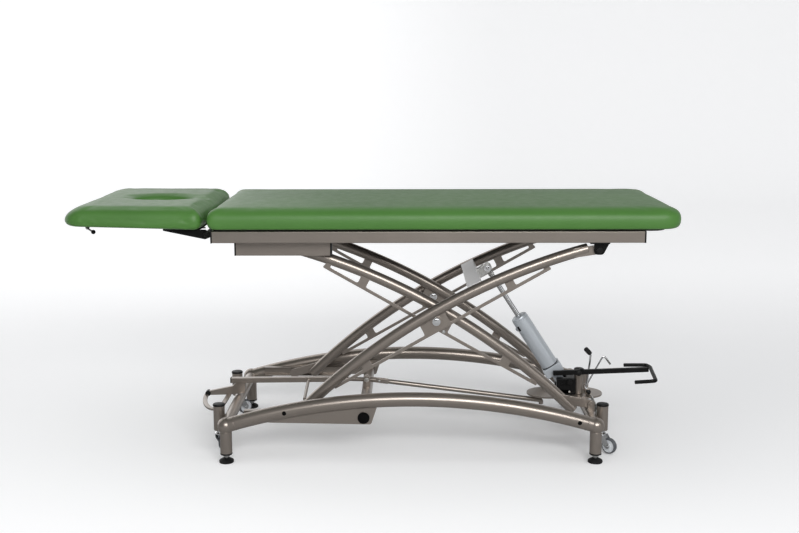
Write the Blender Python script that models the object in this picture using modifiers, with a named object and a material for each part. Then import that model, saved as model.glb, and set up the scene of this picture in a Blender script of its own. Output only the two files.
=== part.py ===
"""Height-adjustable treatment table on a scissor frame, in metres, +X towards the foot end, +Z up."""
import math

import bmesh
import bpy
from mathutils import Matrix, Vector

# General
FIT = 0.0004
WELD = 0.00002
ROUND = 14
FINE = 14
BALL_TURN = 0.13
# EXACT leaves open edges where a lug crosses the end of a bent tube
SOLVER = "MANIFOLD"

# Floor frame
SIDE_Y = 0.31
HEAD_X = -0.492
FOOT_X = 0.744
CORNER_Z = 0.127
SIDE_R = 0.024
ARCH_RISE = 0.091
ARCH_STEPS = 14
CORNER_R = 0.028
LEG_R = 0.020
LEG_BOTTOM = 0.028
END_R = 0.019

# Levelling feet
FOOT_R = 0.0245
FOOT_DISC = 0.012
FOOT_NECK = 0.020
NUT_R = 0.012
STUD_R = 0.006
STUD_TOP = 0.078

# Castors
POST_R = 0.0195
POST_Y = 0.209
POST_LOW = 0.080
POST_HIGH = 0.168
STEM_R = 0.0055
STEM_TOP = 0.120
WHEEL_R = 0.0270
WHEEL_WIDTH = 0.018
WHEEL_Z = 0.0295
TRAIL = 0.030
AXLE_R = 0.004
CHEEK = 0.0025
CHEEK_GAP = 0.0022
CROWN_R = 0.0165
CROWN_LOW = 0.064
CROWN_HIGH = 0.072
CASTOR_TURNS = {"head_near": 78.0, "head_far": 38.0, "foot_near": -42.0, "foot_far": 24.0}

# Scissor
PIVOT_X = 0.2125
LOW_Z = 0.165
HIGH_Z = 0.7125
PIVOT_Z = 0.4645
ARM_R = 0.019
OUTER_Y = 0.240
INNER_Y = 0.179
BEND_R = 2.193
BEND_X = 0.124
BEND_Z = 0.061
TUBE_LOW = -0.540
TUBE_HIGH = 0.570
ARM_STEPS = 10
WEB = 0.006
WEB_OUTER_Y = 0.230
WEB_INNER_Y = 0.190
WEB_LOW = -0.402
WEB_HIGH = 0.434
STRIP = 0.0105
STRIP_Z = -0.006
STRIP_SLOPE = 0.042
WINDOWS = ((-0.372, -0.283), (-0.250, -0.066), (0.082, 0.273), (0.304, 0.4105))
HUB_R = 0.020
BOLT_R = 0.008
BOLT_HEAD_R = 0.014
LUG_R = 0.0155
LUG = 0.0072
LUG_INNER_Y = 0.1912
PIN_R = 0.006

# Rollers and their tracks
LOW_ROLLER_R = 0.0125
LOW_ROLLER = 0.013
LOW_ROLLER_DROP = 0.010
LOW_ROLLER_PLAY = 0.001
HIGH_ROLLER_R = 0.0195
HIGH_ROLLER = 0.021
TRACK_WALL = 0.003
TRACK_LIP = 0.0047
LOW_TRACK_X = (-0.434, -0.130)
HIGH_TRACK_X = (-0.4545, -0.1390)
HIGH_TRACK_OUT = 0.2345

# Lift unit
EYE_X = 0.397
EYE_Z = 0.608
SEAT_X = 0.668
SEAT_Z = 0.190
ROD_R = 0.009
ROD_START = 0.210
ROD_EYE_R = 0.016
ROD_EYE = 0.020
CYLINDER_R = 0.030
CYLINDER_LOW = 0.042
CYLINDER_HIGH = 0.290
CYLINDER_FOOT_R = 0.034
TONGUE = 0.024
CROSS_X = 0.180
CROSS_LONG = 0.050
CROSS_TALL = 0.034
FORK = 0.006

# Pump, pedals and levers
TRAY_X = (0.545, 0.815)
TRAY_HALF = 0.066
TRAY = 0.006
PUMP_BACK = 0.020
PUMP_AHEAD = 0.048
PUMP_HALF = 0.036
PUMP_TOP = 0.212
TOWER_AHEAD = 0.060
TOWER_Y = -0.017
TOWER_R = 0.018
TOWER_TOP = 0.2475
PEDAL_AHEAD = 0.054
PEDAL_Z = 0.238
BAR_Y = (-0.053, -0.041)
BAR_LEFT = (0.632, 0.2356, 0.017)
BAR_RIGHT = (0.970, 0.2488, 0.017)
LOOP_R = 0.0065
LOOP = ((0.887, -0.018, 0.257), (0.950, -0.018, 0.257), (0.968, -0.024, 0.257),
        (0.976, -0.042, 0.256), (0.966, -0.172, 0.250), (0.958, -0.190, 0.249),
        (0.942, -0.198, 0.248), (0.890, -0.206, 0.247))
LEVER_X = 0.760
LEVER_LIFT = 0.012
LEVER_R = 0.005
GRIP_LOW = (0.773, 0.290)
GRIP_TURN = -43.0
GRIP_R = 0.0085
GRIP_LONG = 0.030
WIRE_R = 0.0035
WIRE = ((0.822, 0.2835), (0.848, 0.2480))
STAY_TOP = (0.757, -0.034, 0.1535)
STAY_EDGE = (0.768, -0.073, 0.1530)
STAY_ENDS = ((0.7700, -0.150, 0.1175), (0.7800, -0.150, 0.1240))
TAB = 0.004
TAB_Y = 0.032

# Track plates and cross tube of the base
PLATE = 0.006
PLATE_LOW_Z = 0.132
PLATE_X = (-0.360, 0.014)
PLATE_SLANT = 0.020
CROSS_TUBE_X = -0.031
CROSS_TUBE_Z = 0.155
CROSS_TUBE_R = 0.019

# Head-end foot lever
FULCRUM_Z = 0.2017
BAR_START = (-0.520, 0.1972)
BAR_END = (-0.109, 0.2018)
BAR_TALL = 0.018
BAR_DEEP = 0.022
BAR_THICK = 0.010
LINK_R = 0.009
BOSS_R = 0.013
JOIN_X = 0.014
JOIN_Z = 0.196
ROD_END = (0.597, 0.122)
CROSS_PIN_X = -0.2405
CROSS_PIN_R = 0.0055
CROSS_PIN_END = (-0.236, -0.214, 0.1905)
ARM_OUTLINE = ((-0.606, 0.1425), (-0.521, 0.1450), (-0.470, 0.1500), (-0.466, 0.1945),
               (-0.497, 0.1945), (-0.514, 0.1760), (-0.606, 0.1565))
HOOP_X = -0.56875
HOOP_HALF = 0.040
HOOP_SKEW = 0.017
HOOP_LONG = 0.178
HOOP_WIDE = 0.016
HOOP_Z = (0.1400, 0.1470)
HOOP_STEPS = 12

# Bed
RAIL_Y = (0.262, 0.292)
RAIL_Z = (0.7400, 0.7785)
RAIL_X = (-0.527, 0.8925)
RAIL_EDGE = 0.004
BAR_Z = 0.7455
BED_BARS = {"head": -0.440, "mid": -0.155, "foot": 0.862}
BED_BAR_WIDE = 0.030
BRACKET_HALF = 0.018
BOARD = 0.0067
BOARD_X = (-0.519, 0.962)
BOARD_HALF = 0.288
BOARD_CORNER = 0.05

# Cushions
PAD_HALF = 0.325
PAD_X = (-0.535, 1.0080)
PAD_CORNER = 0.065
PAD_HEAD_CORNER = 0.022
PAD_TALL = 0.0715
CROWN = 0.0035

# Headrest
HINGE_X = -0.5435
HINGE_Z = 0.7665
HEAD_TILT = 1.5
HEAD_PAD_X = (-1.0095, -0.5515)
HEAD_TAPER = 0.13
NOSE_DROP = 0.25
NOSE_LONG = 0.090
HEAD_BOARD_HALF = 0.252
HEAD_BOARD_X = (-0.968, -0.5650)
HEAD_ARM_Y = 0.2465
HEAD_ARM = 0.007
HEAD_ARM_TIP = -0.690
HINGE_R = 0.008
HINGE_HUB_R = 0.0125
FACE_X = -0.741
FACE_LONG = 0.105
FACE_WIDE = 0.073
BALL_X = -0.933
BALL_Z = 0.7545
BALL_R = 0.0075
CATCH_X = -0.955
CATCH_Z = 0.7675
CATCH_Y = -0.200
CATCH_R = 0.003

# Sizes that follow from the ones above
SPAN = FOOT_X - PIVOT_X
CENTRE_Z = (LOW_Z + HIGH_Z) / 2
ANGLE = math.atan2((HIGH_Z - LOW_Z) / 2, SPAN)
HALF_ARM = math.hypot(SPAN, (HIGH_Z - LOW_Z) / 2)
ROLLER_X = PIVOT_X - SPAN
# A flat of each post faces a flat of the end tube that carries it
POST_OUT = (END_R + POST_R) * math.cos(math.pi / ROUND) + FIT
TRAY_LOW = CORNER_Z + END_R + FIT
TRAY_HIGH = TRAY_LOW + TRAY
PUMP_LOW = TRAY_HIGH + FIT
PUMP_X = (SEAT_X - PUMP_BACK, SEAT_X + PUMP_AHEAD)
TOWER_X = SEAT_X + TOWER_AHEAD
PEDAL_X = SEAT_X + PEDAL_AHEAD
HIGH_TRACK_Y = (HIGH_TRACK_OUT - TRACK_WALL - FIT * 2 - HIGH_ROLLER - TRACK_LIP, HIGH_TRACK_OUT)
LOW_ROLLER_Z = LOW_Z - LOW_ROLLER_DROP
BOARD_LOW = RAIL_Z[1] + FIT
PAD_LOW = BOARD_LOW + BOARD + FIT
LIFT_LONG = math.hypot(EYE_X - SEAT_X, EYE_Z - SEAT_Z)
LIFT_UP = Vector(((EYE_X - SEAT_X) / LIFT_LONG, 0.0, (EYE_Z - SEAT_Z) / LIFT_LONG))
SIDES = {"near": -1.0, "far": 1.0}
ENDS = {"head": HEAD_X, "foot": FOOT_X}


def clear_scene():
    for obj in list(bpy.data.objects):
        bpy.data.objects.remove(obj, do_unlink=True)


def new_collection(name):
    made = bpy.data.collections.new(name)
    bpy.context.scene.collection.children.link(made)
    return made


clear_scene()
PARTS = new_collection("treatment_table")
TOOLS = new_collection("cutters")
PIVOTS = {}
MATERIALS = {}


def material(name):
    looks = {
        "frame_paint": ((0.42, 0.38, 0.34), 0.35, 0.6),
        "black_plastic": ((0.02, 0.02, 0.02), 0.5, 0.0),
        "bright_steel": ((0.75, 0.75, 0.74), 0.2, 1.0),
        "grey_tyre": ((0.45, 0.45, 0.45), 0.6, 0.0),
        "board": ((0.08, 0.07, 0.06), 0.7, 0.0),
        "upholstery": ((0.13, 0.32, 0.12), 0.45, 0.0),
    }
    if name not in MATERIALS:
        made = bpy.data.materials.new(name)
        made.use_nodes = True
        shader = made.node_tree.nodes["Principled BSDF"]
        colour, rough, metal = looks[name]
        shader.inputs["Base Color"].default_value = (*colour, 1.0)
        shader.inputs["Roughness"].default_value = rough
        shader.inputs["Metallic"].default_value = metal
        MATERIALS[name] = made
    return MATERIALS[name]


def pivot(name, place, parent=None, turn=(0.0, 0.0, 0.0)):
    """An empty on a joint's axis. Pieces are drawn in the frame of the table and hang from it."""
    empty = bpy.data.objects.new(name, None)
    PARTS.objects.link(empty)
    empty.location = Vector(place)
    if parent:
        empty.parent = PIVOTS[parent][0]
        empty.location = Vector(place) - PIVOTS[parent][1]
    empty.rotation_euler = turn
    PIVOTS[name] = (empty, Vector(place))


def linked(name, data, collection, hang=None):
    obj = bpy.data.objects.new(name, data)
    collection.objects.link(obj)
    if hang:
        obj.parent = PIVOTS[hang][0]
    return obj


def baked(obj):
    """The shape of a curve or of a turned profile as a welded mesh, in place of the object."""
    bpy.context.view_layer.update()
    graph = bpy.context.evaluated_depsgraph_get()
    mesh = bpy.data.meshes.new_from_object(obj.evaluated_get(graph))
    mesh.transform(obj.matrix_world)
    bpy.data.objects.remove(obj, do_unlink=True)
    shape = bmesh.new()
    shape.from_mesh(mesh)
    bmesh.ops.remove_doubles(shape, verts=shape.verts, dist=WELD)
    return mesh_of(shape, mesh)


def mesh_of(shape, mesh=None):
    """A closed shape as a mesh whose faces point outwards."""
    mesh = mesh or bpy.data.meshes.new("shape")
    bmesh.ops.recalc_face_normals(shape, faces=shape.faces)
    if shape.calc_volume(signed=True) < 0.0:
        bmesh.ops.reverse_faces(shape, faces=shape.faces)
    shape.to_mesh(mesh)
    shape.free()
    return mesh


def rod(start, end, radius, sides=ROUND, end_radius=None):
    first, last = Vector(start), Vector(end)
    shape = bmesh.new()
    bmesh.ops.create_cone(shape, cap_ends=True, segments=sides, radius1=radius,
                          radius2=radius if end_radius is None else end_radius,
                          depth=(last - first).length)
    turn = (last - first).to_track_quat("Z", "Y").to_matrix().to_4x4()
    shape.transform(Matrix.Translation((first + last) / 2) @ turn)
    return mesh_of(shape)


def block(low, high, edge=0.0):
    shape = bmesh.new()
    bmesh.ops.create_cube(shape, size=1.0)
    size = [b - a for a, b in zip(low, high)]
    middle = [(a + b) / 2 for a, b in zip(low, high)]
    shape.transform(Matrix.Translation(middle) @ Matrix.Diagonal((*size, 1.0)))
    if edge:
        bmesh.ops.bevel(shape, geom=shape.edges[:], offset=edge, segments=2, profile=0.5, affect="EDGES")
    return mesh_of(shape)


def ball(centre, radius):
    shape = bmesh.new()
    bmesh.ops.create_uvsphere(shape, u_segments=ROUND, v_segments=ROUND // 2, radius=radius)
    shape.transform(Matrix.Translation(centre) @ Matrix.Rotation(BALL_TURN, 4, (1.0, 0.6, 0.3)))
    return mesh_of(shape)


def tube(points, radius, resolution=2):
    curve = bpy.data.curves.new("tube", "CURVE")
    curve.dimensions = "3D"
    curve.bevel_depth = radius
    curve.bevel_resolution = resolution
    curve.use_fill_caps = True
    spline = curve.splines.new("POLY")
    spline.points.add(len(points) - 1)
    for point, place in zip(spline.points, points):
        point.co = (*place, 1.0)
    return baked(linked("tube", curve, TOOLS))


def outline_curve(outline, thick):
    curve = bpy.data.curves.new("plate", "CURVE")
    curve.dimensions = "2D"
    curve.fill_mode = "BOTH"
    curve.extrude = thick / 2
    for loop in outline:
        spline = curve.splines.new("POLY")
        spline.points.add(len(loop) - 1)
        for point, (across, along) in zip(spline.points, loop):
            point.co = (across, along, 0.0, 1.0)
        spline.use_cyclic_u = True
    return curve


def plate(outline, y_ends, holes=()):
    """A flat plate standing in the XZ plane between two values of Y."""
    obj = linked("plate", outline_curve((outline, *holes), abs(y_ends[1] - y_ends[0])), TOOLS)
    upright = Matrix.Rotation(math.pi / 2, 4, "X")
    obj.matrix_world = Matrix.Translation((0.0, sum(y_ends) / 2, 0.0)) @ upright
    return baked(obj)


def slab(outline, z_ends, holes=()):
    """A flat plate lying in the XY plane between two values of Z."""
    obj = linked("slab", outline_curve((outline, *holes), z_ends[1] - z_ends[0]), TOOLS)
    obj.matrix_world = Matrix.Translation((0.0, 0.0, sum(z_ends) / 2))
    return baked(obj)


def turned(profile, start, direction, sides=FINE):
    """A profile of (radius, distance) points, from the far end back along the axis, turned about it."""
    mesh = bpy.data.meshes.new("profile")
    mesh.from_pydata([(radius, 0.0, along) for radius, along in profile],
                     [(i, i + 1) for i in range(len(profile) - 1)], [])
    obj = linked("profile", mesh, TOOLS)
    screw = obj.modifiers.new("turn", "SCREW")
    screw.axis = "Z"
    screw.steps = sides
    screw.render_steps = sides
    screw.use_merge_vertices = True
    screw.merge_threshold = WELD
    turn = Vector(direction).to_track_quat("Z", "Y").to_matrix().to_4x4()
    obj.matrix_world = Matrix.Translation(start) @ turn
    return baked(obj)


def loft(rings, closed):
    """Faces between rings with the same number of points; the ends are capped, or meet where closed."""
    shape = bmesh.new()
    made = [[shape.verts.new(point) for point in ring] for ring in rings]
    count = len(rings[0])
    pairs = list(zip(made, made[1:])) + ([(made[-1], made[0])] if closed else [])
    for lower, upper in pairs:
        for i in range(count):
            j = (i + 1) % count
            shape.faces.new((lower[i], lower[j], upper[j], upper[i]))
    if not closed:
        shape.faces.new(made[0][::-1])
        shape.faces.new(made[-1])
    return mesh_of(shape)


def placed(mesh, hang):
    if hang:
        mesh.transform(Matrix.Translation(-PIVOTS[hang][1]))
    return mesh


def part(name, mesh, look, hang=None, joined=(), cuts=()):
    """A named piece: its first shape, then shapes joined to it and shapes cut from it."""
    mesh = placed(mesh, hang)
    mesh.name = name
    mesh.materials.append(material(look))
    mesh.shade_smooth()
    mesh.set_sharp_from_angle(angle=math.radians(40.0))
    obj = linked(name, mesh, PARTS, hang)
    for kind, shapes in (("UNION", joined), ("DIFFERENCE", cuts)):
        for number, shape in enumerate(shapes):
            tool = linked(f"{name}_{kind.lower()}_{number}", placed(shape, hang), TOOLS, hang)
            tool.hide_render = True
            tool.display_type = "WIRE"
            boolean = obj.modifiers.new(f"{kind.lower()} {number}", "BOOLEAN")
            boolean.operation = kind
            boolean.solver = SOLVER
            boolean.object = tool
    return obj


def circle(centre, radius, sides=ROUND, first=0.0, last=360.0):
    steps = sides if last - first >= 360.0 else sides + 1
    turns = [math.radians(first + (last - first) * i / sides) for i in range(steps)]
    return [(centre[0] + radius * math.cos(a), centre[1] + radius * math.sin(a)) for a in turns]


def capsule(start, end, radius, sides=6):
    """The outline of a flat link with round ends."""
    turn = math.degrees(math.atan2(end[1] - start[1], end[0] - start[0]))
    ahead = circle(end, radius, sides, turn - 90.0, turn + 90.0)
    return ahead + circle(start, radius, sides, turn + 90.0, turn + 270.0)


def span(low, high, side):
    """Two values of |Y| as an ordered pair on one side of the table."""
    return tuple(sorted((low * side, high * side)))


# Floor frame
def arch_z(x):
    half = (FOOT_X - HEAD_X) / 2
    radius = (half * half + ARCH_RISE * ARCH_RISE) / (2 * ARCH_RISE)
    away = x - (HEAD_X + FOOT_X) / 2
    return CORNER_Z + ARCH_RISE - radius + math.sqrt(radius * radius - away * away)


def arch_slope(x):
    half = (FOOT_X - HEAD_X) / 2
    radius = (half * half + ARCH_RISE * ARCH_RISE) / (2 * ARCH_RISE)
    return math.asin((x - (HEAD_X + FOOT_X) / 2) / radius)


def base_side(name, side):
    y = SIDE_Y * side
    stations = [HEAD_X + (FOOT_X - HEAD_X) * i / ARCH_STEPS for i in range(ARCH_STEPS + 1)]
    arch = tube([(x, y, arch_z(x)) for x in stations], SIDE_R, 4)
    joined = []
    bores = []
    for x in ENDS.values():
        joined.append(ball((x, y, CORNER_Z), CORNER_R))
        joined.append(rod((x, y, LEG_BOTTOM), (x, y, CORNER_Z + LEG_R * 0.3), LEG_R))
        bores.append(rod((x, y, LEG_BOTTOM - FIT * 10), (x, y, STUD_TOP + FIT * 10), STUD_R + FIT))
    part(f"base_side_{name}", arch, "frame_paint", None, joined, bores)


def pivot_bracket(side):
    """Two cheeks and a pin on the foot-end tube, between which an inner arm turns."""
    x, shapes = FOOT_X, []
    outline = capsule((x, CORNER_Z), (x, LOW_Z), PIN_R * 2)
    inner = LUG_INNER_Y - LUG / 2
    outer = LUG_INNER_Y + LUG / 2
    wall, gap = TAB, TRACK_WALL
    shapes.append(plate(outline, span(inner - gap - wall, inner - gap, side)))
    shapes.append(plate(outline, span(outer + gap, outer + gap + wall, side)))
    ends = span(inner - gap - wall / 2, outer + gap + wall / 2, side)
    shapes.append(rod((x, ends[0], LOW_Z), (x, ends[1], LOW_Z), PIN_R))
    return shapes


def end_tubes():
    reach = SIDE_Y - CORNER_R - FIT
    for end, x in ENDS.items():
        joined = []
        if end == "foot":
            joined = [shape for side in SIDES.values() for shape in pivot_bracket(side)]
        body = rod((x, -reach, CORNER_Z), (x, reach, CORNER_Z), END_R)
        part(f"end_tube_{end}", body, "frame_paint", None, joined)


def track_plate(name, side):
    stations = [PLATE_X[0] + (PLATE_X[1] - PLATE_X[0]) * i / 8 for i in range(9)]
    under = [(x, arch_z(x) - SIDE_R / math.cos(arch_slope(x)) - FIT * 1.5) for x in stations]
    outline = [(PLATE_X[0], PLATE_LOW_Z), (PLATE_X[1] - PLATE_SLANT, PLATE_LOW_Z)] + under[::-1]
    hole = circle((CROSS_TUBE_X, CROSS_TUBE_Z), CROSS_TUBE_R + FIT * 2)
    y = SIDE_Y * side
    body = plate(outline, (y - PLATE / 2, y + PLATE / 2), (hole,))
    part(f"track_plate_{name}", body, "frame_paint")


def channel(x_ends, y_ends, z, inner_half, side):
    """A track of C section, open towards the middle of the table."""
    outer_half = inner_half + TRACK_WALL
    y_low, y_high = span(*y_ends, side)
    body = block((x_ends[0], y_low, z - outer_half), (x_ends[1], y_high, z + outer_half))
    slot = span(y_ends[0] - TRACK_WALL * 3, y_ends[1] - TRACK_WALL, side)
    hollow = block((x_ends[0] - TRACK_WALL * 3, slot[0], z - inner_half),
                   (x_ends[1] + TRACK_WALL * 3, slot[1], z + inner_half))
    return body, hollow


def low_track_y():
    outer = SIDE_Y - SIDE_R - FIT
    return outer - TRACK_WALL - LOW_ROLLER - TRACK_WALL * 1.5, outer


def roller_track(name, side):
    inner_half = LOW_ROLLER_R + LOW_ROLLER_PLAY
    body, hollow = channel(LOW_TRACK_X, low_track_y(), LOW_ROLLER_Z, inner_half, side)
    part(f"roller_track_{name}", body, "frame_paint", None, (), (hollow,))


def base_cross_tube():
    reach = SIDE_Y + PLATE
    body = along_y((CROSS_TUBE_X, CROSS_TUBE_Z), (-reach, reach), CROSS_TUBE_R)
    inner = LINK_R + TRACK_WALL * 0.6
    joined = []
    for side in SIDES.values():
        outline = capsule((CROSS_TUBE_X, CROSS_TUBE_Z), (CROSS_TUBE_X, FULCRUM_Z), PIN_R * 2)
        joined.append(plate(outline, span(inner, inner + TAB, side)))
    pin = inner + TAB / 2
    joined.append(along_y((CROSS_TUBE_X, FULCRUM_Z), (-pin, pin), PIN_R))
    part("base_cross_tube", body, "frame_paint", None, joined)


def castor_places():
    for end, x in ENDS.items():
        out = -POST_OUT if end == "head" else POST_OUT
        for name, side in SIDES.items():
            yield f"{end}_{name}", x + out, POST_Y * side


def castor_post(name, x, y):
    bore = rod((x, y, POST_LOW - FIT * 10), (x, y, STEM_TOP + FIT * 10), STEM_R + FIT)
    body = rod((x, y, POST_LOW), (x, y, POST_HIGH), POST_R)
    part(f"castor_post_{name}", body, "frame_paint", None, (), (bore,))


def castor(name, x, y):
    """A fork that swivels in its post and a wheel on the fork's axle, trailing along the fork's own X."""
    turn = math.radians(CASTOR_TURNS[name])
    fork_pivot, wheel_pivot = f"swivel_{name}", f"axle_{name}"
    pivot(fork_pivot, (x, y, CROWN_HIGH), None, (0.0, 0.0, turn))
    pivot(wheel_pivot, (x + TRAIL, y, WHEEL_Z), fork_pivot)
    crown = turned([(0.0, STEM_TOP), (STEM_R, STEM_TOP), (STEM_R, CROWN_HIGH), (CROWN_R, CROWN_HIGH),
                    (CROWN_R, CROWN_LOW), (0.0, CROWN_LOW)], (x, y, 0.0), (0.0, 0.0, 1.0), ROUND)
    inner = WHEEL_WIDTH / 2 + CHEEK_GAP
    joined = []
    outline = [(x - CROWN_R * 0.5, CROWN_LOW + CHEEK), (x - CROWN_R * 0.4, CROWN_LOW - CHEEK * 4),
               *circle((x + TRAIL, WHEEL_Z), AXLE_R * 2.2, 8, 200.0, 390.0),
               (x + CROWN_R * 0.85, CROWN_LOW + CHEEK)]
    for side in SIDES.values():
        ends = sorted((y + inner * side, y + (inner + CHEEK) * side))
        joined.append(plate(outline, ends))
    reach = inner + CHEEK / 2
    joined.append(along_y((x + TRAIL, WHEEL_Z), (y - reach, y + reach), AXLE_R, 12))
    part(f"castor_fork_{name}", crown, "bright_steel", fork_pivot, joined)
    half = WHEEL_WIDTH / 2
    rim = WHEEL_R * 0.86
    bore = AXLE_R + FIT
    profile = [(bore, half), (rim, half), (WHEEL_R, half * 0.45), (WHEEL_R, -half * 0.45),
               (rim, -half), (bore, -half), (bore, half)]
    wheel = turned(profile, (x + TRAIL, y, WHEEL_Z), (0.0, 1.0, 0.0))
    part(f"castor_wheel_{name}", wheel, "grey_tyre", wheel_pivot)


def levelling_foot(name, x, y):
    hang = f"foot_{name}"
    pivot(hang, (x, y, 0.0))
    nut_low = LEG_BOTTOM - FIT - FOOT_NECK * 0.35
    nut_high = LEG_BOTTOM - FIT
    profile = [(0.0, STUD_TOP), (STUD_R, STUD_TOP), (STUD_R, nut_high), (NUT_R, nut_high),
               (NUT_R, nut_low), (STUD_R, nut_low), (STUD_R, FOOT_NECK * 0.95),
               (FOOT_R * 0.45, FOOT_NECK * 0.85), (FOOT_R * 0.75, FOOT_DISC),
               (FOOT_R, FOOT_DISC * 0.7), (FOOT_R, 0.0), (0.0, 0.0)]
    foot = turned(profile, (x, y, 0.0), (0.0, 0.0, 1.0))
    part(f"levelling_foot_{name}", foot, "black_plastic", hang)


# Scissor
def arm_xz(mirror, along, up):
    """A point of an arm, given along and above the line through its pivots, as X and Z."""
    across = along * math.cos(ANGLE) - up * math.sin(ANGLE)
    return PIVOT_X + mirror * across, CENTRE_Z + along * math.sin(ANGLE) + up * math.cos(ANGLE)


def bend_z(along):
    away = along - BEND_X
    return BEND_Z - BEND_R + math.sqrt(BEND_R * BEND_R - away * away)


def strip_z(along):
    return STRIP_Z + STRIP_SLOPE * along


def web_shape(mirror, y, thick):
    stations = [WEB_LOW + (WEB_HIGH - WEB_LOW) * i / 10 for i in range(11)]
    lower = [(WEB_LOW, strip_z(WEB_LOW) - STRIP / 2), (WEB_HIGH, strip_z(WEB_HIGH) - STRIP / 2)]
    outline = lower + [(s, bend_z(s)) for s in stations[::-1]]
    holes = []
    for left, right in WINDOWS:
        ease = STRIP * 0.6
        low_left, low_right = strip_z(left) + STRIP / 2, strip_z(right) + STRIP / 2
        hole = [(left + ease, low_left), (right - ease, low_right), (right, low_right + ease)]
        inside = ARM_R * 0.3
        hole += [(s, bend_z(s) - inside) for s in (right, (left + right) / 2, left)]
        hole.append((left, low_left + ease))
        holes.append([arm_xz(mirror, *point) for point in hole])
    edge = [arm_xz(mirror, *point) for point in outline]
    return plate(edge, (y - thick / 2, y + thick / 2), holes)


def along_y(centre, y_ends, radius, sides=ROUND):
    return rod((centre[0], y_ends[0], centre[1]), (centre[0], y_ends[1], centre[1]), radius, sides)


def lug_shape(mirror, base, tip, radius, y_ends):
    return plate(capsule(arm_xz(mirror, *base), arm_xz(mirror, *tip), radius), y_ends)


def arm(name, mirror, side, tube_y, web_y, high_y, low_y, stub, hang, drop=0.0):
    """A bent tube with a windowed web, a lug at each end, and a stub axle where it carries a roller."""
    y = tube_y * side
    stations = [TUBE_LOW + (TUBE_HIGH - TUBE_LOW) * i / ARM_STEPS for i in range(ARM_STEPS + 1)]
    points = []
    for s in stations:
        x, z = arm_xz(mirror, s, bend_z(s))
        points.append((x, y, z))
    high_in = TUBE_HIGH - LUG_R * 2.7
    low_in = TUBE_LOW + LUG_R * 2.7
    centre = (PIVOT_X, PIVOT_Z)
    tips = {1.0: (HALF_ARM, 0.0), -1.0: (-HALF_ARM - drop * math.sin(ANGLE), -drop * math.cos(ANGLE))}
    joined = [
        web_shape(mirror, web_y * side, WEB),
        along_y(centre, span(web_y - WEB * 0.7, web_y + WEB * 0.7, side), HUB_R, FINE),
        lug_shape(mirror, (high_in, bend_z(high_in)), tips[1.0], LUG_R, span(*high_y, side)),
        lug_shape(mirror, (low_in, bend_z(low_in)), tips[-1.0], LUG_R, span(*low_y, side)),
    ]
    cuts = [along_y(centre, span(web_y - WEB * 2, web_y + WEB * 2, side), BOLT_R + FIT)]
    end, ends = stub
    place = arm_xz(mirror, *tips[end])
    joined.append(along_y(place, span(*ends, side), PIN_R))
    free = low_y if end > 0 else high_y
    other = arm_xz(mirror, *tips[-end])
    cuts.append(along_y(other, span(free[0] - LUG * 1.5, free[1] + LUG * 1.5, side), PIN_R + FIT))
    part(name, tube(points, ARM_R, 4), "frame_paint", hang, joined, cuts)


def low_roller_y():
    outer = low_track_y()[1] - TRACK_WALL - FIT * 2
    return outer - LOW_ROLLER, outer


def high_roller_y():
    outer = HIGH_TRACK_Y[1] - TRACK_WALL - FIT * 2
    return outer - HIGH_ROLLER, outer


def top_lug_y():
    outer = RAIL_Y[0] - LUG * 0.8
    return outer - LUG, outer


def arms():
    low_lug = (OUTER_Y + LUG * 0.5, OUTER_Y + LUG * 1.5)
    foot_lug = (LUG_INNER_Y - LUG / 2, LUG_INNER_Y + LUG / 2)
    for name, side in SIDES.items():
        outer_stub = (-1.0, (low_lug[0] + LUG * 0.3, low_roller_y()[1]))
        arm(f"arm_outer_{name}", 1.0, side, OUTER_Y, WEB_OUTER_Y, top_lug_y(), low_lug, outer_stub,
            "cross_pivot", LOW_ROLLER_DROP)
        inner_stub = (1.0, (foot_lug[0] + LUG * 0.3, high_roller_y()[1]))
        arm(f"arm_inner_{name}", -1.0, side, INNER_Y, WEB_INNER_Y, foot_lug, foot_lug, inner_stub,
            "lift_pivot")


def roller(name, side, height, hang_from, x, z, radius, y_ends):
    hang = f"spin_{height}_{name}"
    low, high = span(*y_ends, side)
    pivot(hang, (x, (low + high) / 2, z), hang_from)
    bore = PIN_R + FIT
    half = (high - low) / 2
    ease = radius * 0.08
    profile = [(bore, half), (radius - ease, half), (radius, half - ease), (radius, ease - half),
               (radius - ease, -half), (bore, -half), (bore, half)]
    body = turned(profile, (x, (low + high) / 2, z), (0.0, 1.0, 0.0))
    part(f"roller_{height}_{name}", body, "black_plastic", hang)


def rollers():
    for name, side in SIDES.items():
        roller(name, side, "lower", "cross_pivot", ROLLER_X, LOW_ROLLER_Z, LOW_ROLLER_R, low_roller_y())
        roller(name, side, "upper", "lift_pivot", ROLLER_X, HIGH_Z, HIGH_ROLLER_R, high_roller_y())


def pivot_bolt(name, side):
    inner = WEB_INNER_Y - WEB * 0.7 - FIT
    outer = WEB_OUTER_Y + WEB * 0.7 + FIT
    mid = (WEB_INNER_Y + WEB * 0.7 + FIT, WEB_OUTER_Y - WEB * 0.7 - FIT)
    head = BOLT_HEAD_R * 0.5
    profile = [(0.0, outer + head), (BOLT_HEAD_R, outer + head), (BOLT_HEAD_R, outer), (BOLT_R, outer),
               (BOLT_R, mid[1]), (BOLT_HEAD_R, mid[1]), (BOLT_HEAD_R, mid[0]), (BOLT_R, mid[0]),
               (BOLT_R, inner), (BOLT_HEAD_R, inner), (BOLT_HEAD_R, inner - head), (0.0, inner - head)]
    body = turned(profile, (PIVOT_X, 0.0, PIVOT_Z), (0.0, side, 0.0))
    part(f"pivot_bolt_{name}", body, "bright_steel", "cross_pivot")


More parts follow.
